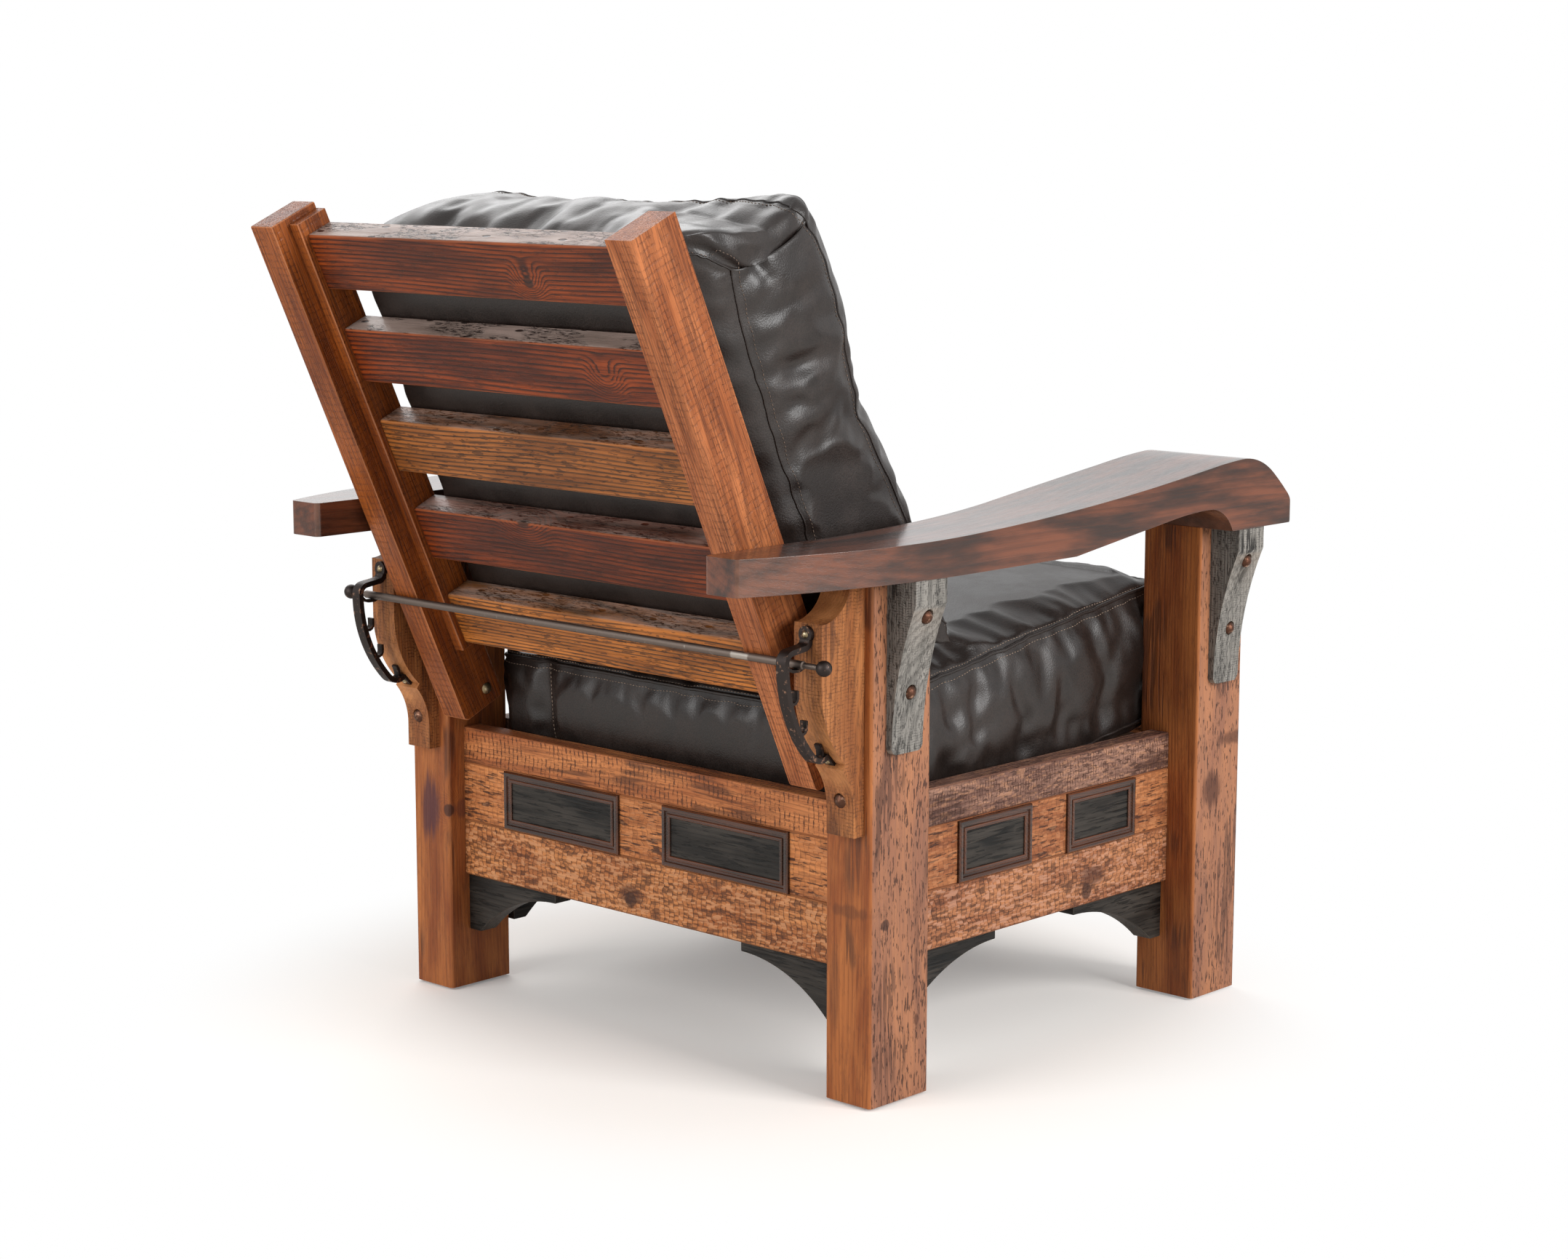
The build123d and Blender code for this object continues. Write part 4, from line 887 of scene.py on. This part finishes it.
class CHAIR_OT_rails(bpy.types.Operator):
    """Dresses the rails' boards"""

    bl_idname = "chair.rails"
    bl_label = "Rails"

    def execute(self, context):
        round_mm = context.scene.chair_wood.edge_round / MM
        marks = {
            "rear_bottom": {"knots": ((20, 198, 168, 9),), "stains": ((20, 198, 176, 22, 14, 0.7),)},
            "right_bottom": {"knots": ((-349, -222, 166, 9),), "stains": ((-349, -232, 182, 30, 14, 0.7),)},
        }
        # Rough-sawn softwood boards, oiled: ticks of the blade across the top one, torn scallops with painted
        # highlights on their raised parts and painted shade in their hollows on the lower ones, and more grey on the
        # sides
        looks = {
            "top": {"pale": "C67E4B", "body": "9A5730", "dark": "4A2A1E", "saw": 1.0, "dashes": 0.35, "checks": 0.6},
            "middle": {"pale": "D0864F", "body": "A05E33", "dashes": 0.85, "dash_mm": (24, 3.0), "chips": 0.45},
            "bottom": {"pale": "C8834E", "body": "9E5C32", "rim": "D29C72", "chips": 1.0, "dashes": 0.3},
        }
        side_looks = {
            "top": {"pale": "9A7462", "body": "694A40", "saw_mm": 5.0, "chips": 0.5, "dashes": 0.7},
            "middle": {"pale": "B47448", "body": "8A5030"},
            "bottom": {"pale": "B47850", "body": "8C5436", "rim": "C0927A"},
        }
        for index, (wall, board) in enumerate((w, b) for w in ENDS + SIDES for b in RAIL_BOARDS):
            look = {"dark": "56301F", **looks[board]}
            if wall in SIDES:
                look.update(side_looks[board])
            # The dark edge colour darkens each board's rounded edges: painted shade along the joints between the
            # boards
            boards = wood(
                f"barn_wood_{wall}_{board}", GRAIN_OF[wall], shift=(211 * index, 67 * index, 31 * index),
                hollow="38211A", edge="6A3E28", ring_depth=0.25, **look, **marks.get(f"{wall}_{board}", {}),
            )
            ease(f"{wall}_rail_{board}", boards, round_mm * (1.0 if board == "top" else 0.5))
        return {"FINISHED"}


class CHAIR_OT_panels(bpy.types.Operator):
    """Dresses the moulding frames, their black inserts, the brackets and the corbels"""

    bl_idname = "chair.panels"
    bl_label = "Panels, brackets and corbels"

    def execute(self, context):
        for wall in ENDS + SIDES:
            # Dark stained moulding under lacquer: a close grain that shines, with rubbed corners
            moulding = wood(
                f"dark_moulding_{wall}", GRAIN_OF[wall], pale="4C2A1A", body="26150D", dark="120A07",
                hollow="0C0705", edge="7C4628", edge_wear=0.4, ring_mm=2.2, ring_depth=0.5, gloss=0.2, coat=0.6,
            )
            # Softwood stained black: the open grain and its fine cracks still show, corners are rubbed grey
            black = wood(
                f"black_stained_wood_{wall}", GRAIN_OF[wall], pale="3A3530", body="1A1714", dark="121110",
                hollow="0A0A09", edge="5A544C", edge_wear=0.5, dashes=0.8, dash_mm=(34, 2.6), checks=1.0, gloss=0.4,
            )
            dress(f"{wall}_moulding", moulding)
            dress(f"{wall}_inserts", black)
            ease(f"{wall}_brackets", black, 1.6)
        # Black stained wood whose grey colour is painted sheen, with the fine lines of a band saw and dark cracks
        corbel = wood(
            "black_stained_wood_corbels_painted_sheen", GRAIN_UP, pale="8A8680", body="6A6762", dark="1C1A19", hollow="0F0E0D",
            edge="9A8C7E", edge_wear=0.7, saw=0.4, saw_mm=3.0, checks=0.9, dashes=0.7, dash_mm=(9, 1.8), gloss=0.34,
        )
        for end in ENDS:
            for side in SIDES:
                ease(f"corbel_{end}_{side}", corbel, 1.6)
        return {"FINISHED"}


class CHAIR_OT_arms(bpy.types.Operator):
    """Dresses the two arms"""

    bl_idname = "chair.arms"
    bl_label = "Arms"

    def execute(self, context):
        # Planed hardwood, stained and lacquered: a cloudy red and black figure under a clear shine; the pale edge
        # colour is a painted reflection along the rounded edges
        boards = wood(
            "dark_lacquered_arm_wood", GRAIN_ALONG, pale="6E3C26", body="2C1912", dark="1C100C", hollow="170D0A",
            edge="7A5A4A", edge_wear=0.5, ring_mm=9.0, ring_depth=0.3, fibre_depth=0.2, gloss=0.28, coat=0.8,
        )
        for side in SIDES:
            ease(f"arm_{side}", boards, context.scene.chair_wood.arm_round / MM, segments=4)
        return {"FINISHED"}


class CHAIR_OT_back(bpy.types.Operator):
    """Dresses the back frame: stiles, cleats and slats"""

    bl_idname = "chair.back"
    bl_label = "Back frame"

    def execute(self, context):
        round_mm = context.scene.chair_wood.edge_round / MM
        # Planed softwood, oiled: warm and even, with fine dark fibres and a trace of the saw; the left stile's
        # darker colours are painted shade, a shaded copy of the right one's
        for index, (side, pale, body) in enumerate((("left", "9A5220", "6E3410"), ("right", "BA7042", "8E4C26"))):
            stile = wood(
                f"oiled_stile_wood_lit_and_shaded_{side}", GRAIN_BACK, shift=(90 * index, 50 * index, 20), pale=pale, body=body,
                dark="4A2414", hollow="35190F", edge="C5835A", ring_mm=4.0, ring_depth=0.35, fibre_depth=0.5,
                dashes=0.35, dash_mm=(30, 2.4), saw=0.3, saw_mm=9.0, gloss=0.36,
            )
            ease(f"stile_{side}", stile, round_mm * 1.6)
            ease(f"cleat_{side}", stile, round_mm)
        # Each slat's main colours, its old top and how much that shows, weathered grey and lightened as painted
        # sheen:
        # red ones, and golden ones with clear rings
        red = {"dark": "2A110A", "edge": "A65A32", "dashes": 0.35}
        golden = {"dark": "3E2816", "edge": "BE7A46", "dashes": 0.6}
        slats = (
            {"pale": "863A10", "body": "50200B", "old_top": "8A7468", "weathered": 0.85, **red},
            {"pale": "8A3A0E", "body": "521F09", "old_top": "86746A", "weathered": 0.95, **red},
            {"pale": "A2602A", "body": "744018", "old_top": "5E4230", "weathered": 0.55, **golden},
            {"pale": "7C340E", "body": "4A1C09", "old_top": "54382A", "weathered": 0.5, **red},
            {"pale": "C2742F", "body": "8E501C", "old_top": "6A4A30", "weathered": 0.6, **golden},
        )
        # Knots of the slats that show one: x, y, z and size
        knots = {1: (-96, 452, 928, 8), 2: (-168, 398, 826, 9), 3: (-30, 330, 740, 10), 4: (66, 330, 640, 13)}
        # Boards planed on their faces and oiled, so that rings show, with the grey checked edge of old siding,
        # lightened as painted sheen
        for index, look in enumerate(slats, 1):
            slat = wood(
                f"oiled_slat_wood_{index}", GRAIN_SLAT, shift=(170 * index, 23 * index, 40 * index),
                hollow="241610", ring_mm=6.0, ring_depth=0.95, pith=(26, 16 + 5 * index), dash_mm=(16, 3.0),
                gloss=0.33, knots=(knots[index],) if index in knots else (), **look,
            )
            ease(f"back_slat_{index}", slat, round_mm * 0.9)
        return {"FINISHED"}


class CHAIR_OT_racks(bpy.types.Operator):
    """Dresses the rack blocks, the iron racks and the cross rod"""

    bl_idname = "chair.racks"
    bl_label = "Racks and rod"

    def execute(self, context):
        # Sawn and oiled softwood blocks: golden brown with fine ticks of the blade
        block = wood(
            "oiled_rack_block_wood", GRAIN_UP, shift=(33, 12, 71), pale="AC6F40", body="864F2A", dark="54301B",
            edge="C98A56", dashes=0.4, saw=0.4, saw_mm=4.0, checks=0.5,
        )
        # Forged iron, blackened and waxed: shallow hammer marks and rubbed brown spots
        iron = metal("patinated_iron", "383230", "A27C66", 0.34, 16.0, 0.35, worn=(0.56, 0.72))
        # Drawn iron rod: smooth and grey, with one ring that the rack has rubbed bright
        rod = metal("rubbed_iron_rod", "6A5F58", "A09890", 0.34, 30.0, 0.05, worn=(0.62, 0.8), bands=((266, 292),))
        for side in SIDES:
            ease(f"rack_block_{side}", block, 2.0)
            ease(f"rack_{side}", iron, 1.4)
        dress("cross_rod", rod)
        dress("rod_knobs", iron)
        return {"FINISHED"}


class CHAIR_OT_fixings(bpy.types.Operator):
    """Dresses bolts, screws and washers"""

    bl_idname = "chair.fixings"
    bl_label = "Bolts and screws"

    def execute(self, context):
        # Cast bronze domes, hammered: small facets that catch light over a brown patina
        bronze = metal("hammered_bronze", "553A2E", "C29A80", 0.28, 4.0, 0.6, worn=(0.5, 0.7))
        # Turned brass, gone dull with age
        brass = metal("aged_brass", "8A7A5E", "CFC4A6", 0.28, 9.0, 0.1)
        dress("corbel_bolts", bronze)
        dress("rack_block_bolts", bronze)
        for node in ("rack_screws", "pivot_bolts", "pivot_washers"):
            dress(node, brass)
        return {"FINISHED"}


class CHAIR_OT_deck(bpy.types.Operator):
    """Dresses the boards under the seat cushion"""

    bl_idname = "chair.deck"
    bl_label = "Seat deck"

    def execute(self, context):
        # Planed pine, painted dark as the shade under the cushion, so that it doesn't show round it
        for node, turn in (("deck_slats", GRAIN_ACROSS), ("seat_ledgers", GRAIN_ALONG)):
            boards = wood(f"planed_pine_painted_shade_{node}", turn, pale="4E3828", body="3C2A1E", dark="241812", gloss=0.5)
            ease(node, boards, 1.5)
        return {"FINISHED"}


class CHAIR_OT_seat_cushion(bpy.types.Operator):
    """Makes the leather seat cushion with its welts and stitches"""

    bl_idname = "chair.seat_cushion"
    bl_label = "Seat cushion"

    def execute(self, context):
        hides = context.scene.chair_leather
        # Full-grain cowhide, dyed dark brown: pebbled, with a soft shine, lighter where it is rubbed
        hide = leather("dark_brown_leather_seat", hides.hide, hides.worn_hide, hides.gloss)
        # Swells and wrinkles: their sizes, depth, seed and where they lie
        ripples = (
            ((34, 34, 140), 2.4, 3.1, lambda x, y, z: step(168 - z, 0, 30)),
            ((150, 110, 90), 4.5, 6.4, lambda x, y, z: step(160 - z, 0, 50)),
            ((120, 120, 90), 3.5, 7.7, lambda x, y, z: step(z, 150, 185)),
            ((34, 50, 34), 1.1, 1.3, lambda x, y, z: 1 + 0 * x),
        )

        def proud(x, y, z, height):
            # Clear of the back cushion over it, of the posts beside it and of the deck under it
            under = step(y, 325, 365) * step(z, 150, 175)
            between = step(y, 8, 26) * (1 - step(y, 500, 530))
            side = 0.5 + 9.5 * between
            face = np.where(np.abs(x) > 280, side, np.where(y < 0, 8.0, np.where(y > 540, 1.0, 5.0)))
            low = np.where(np.abs(x) > 294, side * step(z, 2, 14), -0.3)
            face = np.where(z < 20, low, face)
            return face * (1 - under) - 0.3 * under

        def shape(x, y, z):
            # The lower edges lie square on the deck, out to the rails
            low = (1 - step(z, 14, 50)) * step(np.abs(x), 255, 292) * step(y, -30, 10) * (1 - step(y, 480, 540))
            return np.stack((np.sign(x) * 10 * low, 0 * y, -9 * low), axis=1)

        seams = (*SEAT_WELTS, *SEAT_LINES)
        soft = stuffed("seat_cushion", hide, SEAT_PLACE, seams, SEAT_FOLDS, ripples, proud, shape)
        for index, path in enumerate(SEAT_WELTS):
            laid = traced(soft, path, SEAT_PLACE, 5, 0.9, closed=True)
            cord_along("seat_cushion", f"seat_welt_{index + 1}", hide, laid, 2.6)
        rows = [
            traced(soft, shifted(SEAT_WELTS[0], 0, up), SEAT_PLACE, STITCH_STEP_MM, 0.2, closed=True)
            for up in (7, -8)
        ]
        rows.append(traced(soft, SEAT_LINES[0], SEAT_PLACE, STITCH_STEP_MM, 0.1))
        # Waxed thread, tan: it stands out pale against the hide
        thread = leather("brown_sewing_thread_seat", linear("8E7A6A"), linear("A38D7C"), 0.55)
        stitches_along("seat_cushion", "seat_stitches", thread, rows)
        return {"FINISHED"}


class CHAIR_OT_back_cushion(bpy.types.Operator):
    """Makes the leather back cushion with its welts and stitches"""

    bl_idname = "chair.back_cushion"
    bl_label = "Back cushion"

    def execute(self, context):
        hides = context.scene.chair_leather
        # The same cowhide as the seat's
        hide = leather("dark_brown_leather_back", hides.hide, hides.worn_hide, hides.gloss)
        # Gathers of the top roll, wrinkles of the sides, swells of the front
        ripples = (
            ((34, 190, 90), 3.4, 5.3, lambda x, y, z: step(z, 575, 610)),
            ((60, 34, 34), 1.4, 2.2, lambda x, y, z: step(np.abs(x), 285, 296)),
            ((130, 90, 130), 2.2, 9.1, lambda x, y, z: step(-y, 210, 240)),
            ((36, 36, 36), 0.9, 4.4, lambda x, y, z: 1 + 0 * x),
        )

        def proud(x, y, z, height):
            # Clear of the arms, the slats and the seat cushion, and free at the front and the lower corners
            arms = step(height, 500, 545) * (1 - step(height, 715, 760))
            side = 8.0 * (1 - arms) * step(-y, 30, 60) - 0.2
            face = np.where(np.abs(x) > 285, side, np.where(-y > 200, 9.0, 5.0))
            face = face + 20 * step(-y, 150, 200) * step(z, 420, 500)
            face = np.where(y > -34, -0.4, face)
            seat = z - (75.4 + 0.301 * y)
            return np.where(seat < 25, np.minimum(face, -0.4 + 14.0 * step(np.abs(x), 215, 292)), face)

        def shape(x, y, z):
            # The top leans forward and its far end sags, the rear edges are round, the lower corners hang
            near = step(np.abs(x), 60, 280)
            heights = (181, 259, 308, 373, 425, 473, 505, 541, 580, 610)
            lean = np.interp(z, heights, (0, -4, -12, -3, 14, 25, 29, 33, 32, 18))
            lean = lean * step(-y, 105, 200) * (0.45 + 0.55 * near)
            crown = np.interp(-y, (60, 114, 150, 180, 205, 240), (0, -30, -42, -26, -4, 16))
            crown = crown * (step(-x, 60, 280) + 0.3 * step(x, 60, 280)) * step(z, 545, 585)
            flat = -23 * (1 - near) * step(z, 480, 590)
            sag = -38 * step(x, 160, 330) * step(z, 540, 600)
            round_rear = 24 + 20 * step(x, 0, 200) * step(z, 430, 520)
            drawn = np.sign(x) * round_rear * step(y, -100, -24) ** 1.5 * step(np.abs(x), 180, 290)
            hang = -13 * step(np.abs(x), 205, 290) * (1 - step(z - 0.301 * y, 85, 150)) * step(-y, 60, 120)
            return np.stack((-drawn, -lean, crown + flat + sag + hang), axis=1)

        soft = stuffed("back_cushion", hide, BACK_PLACE, BACK_WELTS, BACK_FOLDS, ripples, proud, shape)
        for index, path in enumerate(BACK_WELTS):
            laid = traced(soft, path, BACK_PLACE, 5, 0.1, closed=True)
            cord_along("back_cushion", f"back_welt_{index + 1}", hide, laid, 1.3)
        rows = [
            traced(soft, shifted(path, along, 0), BACK_PLACE, STITCH_STEP_MM, 0.1, closed=True)
            for path, along in zip(BACK_WELTS, (-9, 7))
        ]
        # The same thread, darker
        thread = leather("brown_sewing_thread_back", linear("6A594D"), linear("7E6A5C"), 0.55)
        stitches_along("back_cushion", "back_stitches", thread, rows)
        return {"FINISHED"}


WHITE = (1, 1, 1, 1)
# The floor turns white between these distances in millimetres, and the camera sees it a little lit
FADE_START, FADE_END = 450, 800
FLOOR_LIFT = 0.16
# Each lamp's name, place, size in metres and power in watts
LAMPS = (
    ("side_softbox", (-4.4, -0.5, 2.2), 2.2, 190.0),
    ("rear_softbox", (0.9, 4.3, 2.1), 2.6, 110.0),
    ("far_softbox", (2.9, -1.5, 3.0), 2.4, 50.0),
)
CHAIR_MIDDLE = Vector((0, 0, 0.5))
# Where the photo was taken from, and its yaw, pitch and roll
CAMERA_PLACE = (-2.5983, 2.7058, 1.0959)
CAMERA_ANGLES = [math.radians(angle) for angle in (43.186, 9.437, 0.057)]


class CHAIR_OT_stage(bpy.types.Operator):
    """Sets the floor, the light and the camera"""

    bl_idname = "chair.stage"
    bl_label = "Stage"

    def execute(self, context):
        scene = context.scene
        bm = bmesh.new()
        bmesh.ops.create_grid(bm, x_segments=1, y_segments=1, size=14.0)
        mesh = bpy.data.meshes.new("pale_floor")
        bm.to_mesh(mesh)
        bm.free()
        floor = bpy.data.objects.new("pale_floor", mesh)
        scene.collection.objects.link(floor)
        made, node, size_mm = surface("pale_studio_floor")
        # The lit floor fades to the white of the backdrop as the camera sees it, and keeps the chair's shadow
        far = node("VectorMath", {0: size_mm}, out=1, operation="LENGTH")
        edge = node("MapRange", {0: far, 1: FADE_START, 2: FADE_END}, **SOFT)
        seen = node("LightPath", out=0)
        cover = node("Math", {0: edge, 1: seen}, **TIMES)
        lift = node("Math", {0: seen, 1: FLOOR_LIFT}, **TIMES)
        paint = {"Base Color": scene.chair_stage.floor, "Roughness": 0.9}
        shader = node("BsdfPrincipled", {**paint, "Emission Color": WHITE, "Emission Strength": lift})
        white = node("Emission", {"Color": WHITE, "Strength": 1.0})
        mixed = node("MixShader", {0: cover, 1: shader, 2: white})
        node("OutputMaterial", {"Surface": mixed})
        mesh.materials.append(made)

        world = bpy.data.worlds.new("studio")
        scene.world = world
        world.use_nodes = True
        world.node_tree.nodes.clear()
        node = partial(add, world.node_tree)
        seen = node("LightPath", out=0)
        glossy = node("LightPath", out=3)
        passed = node("LightPath", out=6)
        seen = node("Math", {0: seen, 1: glossy}, **MOST)
        seen = node("Math", {0: seen, 1: passed}, **MOST)
        strength = node("MapRange", {0: seen, 3: 0.42, 4: 1.0})
        glow = node("Background", {"Color": WHITE, "Strength": strength})
        node("OutputWorld", {"Surface": glow})

        for name, place, size, power in LAMPS:
            lamp = bpy.data.lights.new(name, "AREA")
            lamp.shape = "SQUARE"
            lamp.size = size
            lamp.energy = power
            held = bpy.data.objects.new(name, lamp)
            held.location = place
            held.rotation_euler = (CHAIR_MIDDLE - Vector(place)).to_track_quat("-Z", "Y").to_euler()
            scene.collection.objects.link(held)

        lens = bpy.data.cameras.new("photo_camera")
        lens.lens = 70.62
        lens.sensor_width = 36.0
        lens.sensor_fit = "HORIZONTAL"
        lens.shift_x = -0.0039
        lens.shift_y = 0.0032
        lens.clip_end = 60
        camera = bpy.data.objects.new("photo_camera", lens)
        yaw, pitch, roll = CAMERA_ANGLES
        ahead = Vector((math.sin(yaw) * math.cos(pitch), -math.cos(yaw) * math.cos(pitch), -math.sin(pitch)))
        right = ahead.cross(Vector((0, 0, 1))).normalized()
        above = right.cross(ahead)
        turn = Matrix((right, above, -ahead)).transposed() @ Matrix.Rotation(roll, 3, "Z")
        camera.matrix_world = Matrix.Translation(CAMERA_PLACE) @ turn.to_4x4()
        scene.collection.objects.link(camera)
        scene.camera = camera
        scene.view_settings.view_transform = "Standard"
        return {"FINISHED"}


class CHAIR_PT_panel(bpy.types.Panel):
    """Lists the chair's pieces"""

    bl_idname = "CHAIR_PT_panel"
    bl_label = "Club chair"
    bl_space_type = "VIEW_3D"
    bl_region_type = "UI"
    bl_category = "Club Chair"

    def draw(self, context):
        for group in SETTINGS:
            held = getattr(context.scene, group)
            for key in held.bl_rna.properties.keys():
                if key not in ("rna_type", "name"):
                    self.layout.prop(held, key)
        for operator in OPERATORS:
            self.layout.operator(operator.bl_idname)


SETTINGS = {"chair_wood": ChairWood, "chair_leather": ChairLeather, "chair_stage": ChairStage}
OPERATORS = (
    CHAIR_OT_stage,
    CHAIR_OT_posts,
    CHAIR_OT_rails,
    CHAIR_OT_panels,
    CHAIR_OT_arms,
    CHAIR_OT_back,
    CHAIR_OT_racks,
    CHAIR_OT_fixings,
    CHAIR_OT_deck,
    CHAIR_OT_seat_cushion,
    CHAIR_OT_back_cushion,
)


def register():
    """Adds the settings, the operators and the panel to Blender."""
    for made in (*SETTINGS.values(), *OPERATORS, CHAIR_PT_panel):
        bpy.utils.register_class(made)
    for name, group in SETTINGS.items():
        setattr(bpy.types.Scene, name, bpy.props.PointerProperty(type=group))


def unregister():
    """Takes them out again."""
    for name in SETTINGS:
        delattr(bpy.types.Scene, name)
    for made in (CHAIR_PT_panel, *reversed(OPERATORS), *SETTINGS.values()):
        bpy.utils.unregister_class(made)


def main():
    """Dresses the whole chair."""
    register()
    for operator in OPERATORS:
        group, name = operator.bl_idname.split(".")
        getattr(getattr(bpy.ops, group), name)()


if __name__ == "__main__":
    main()
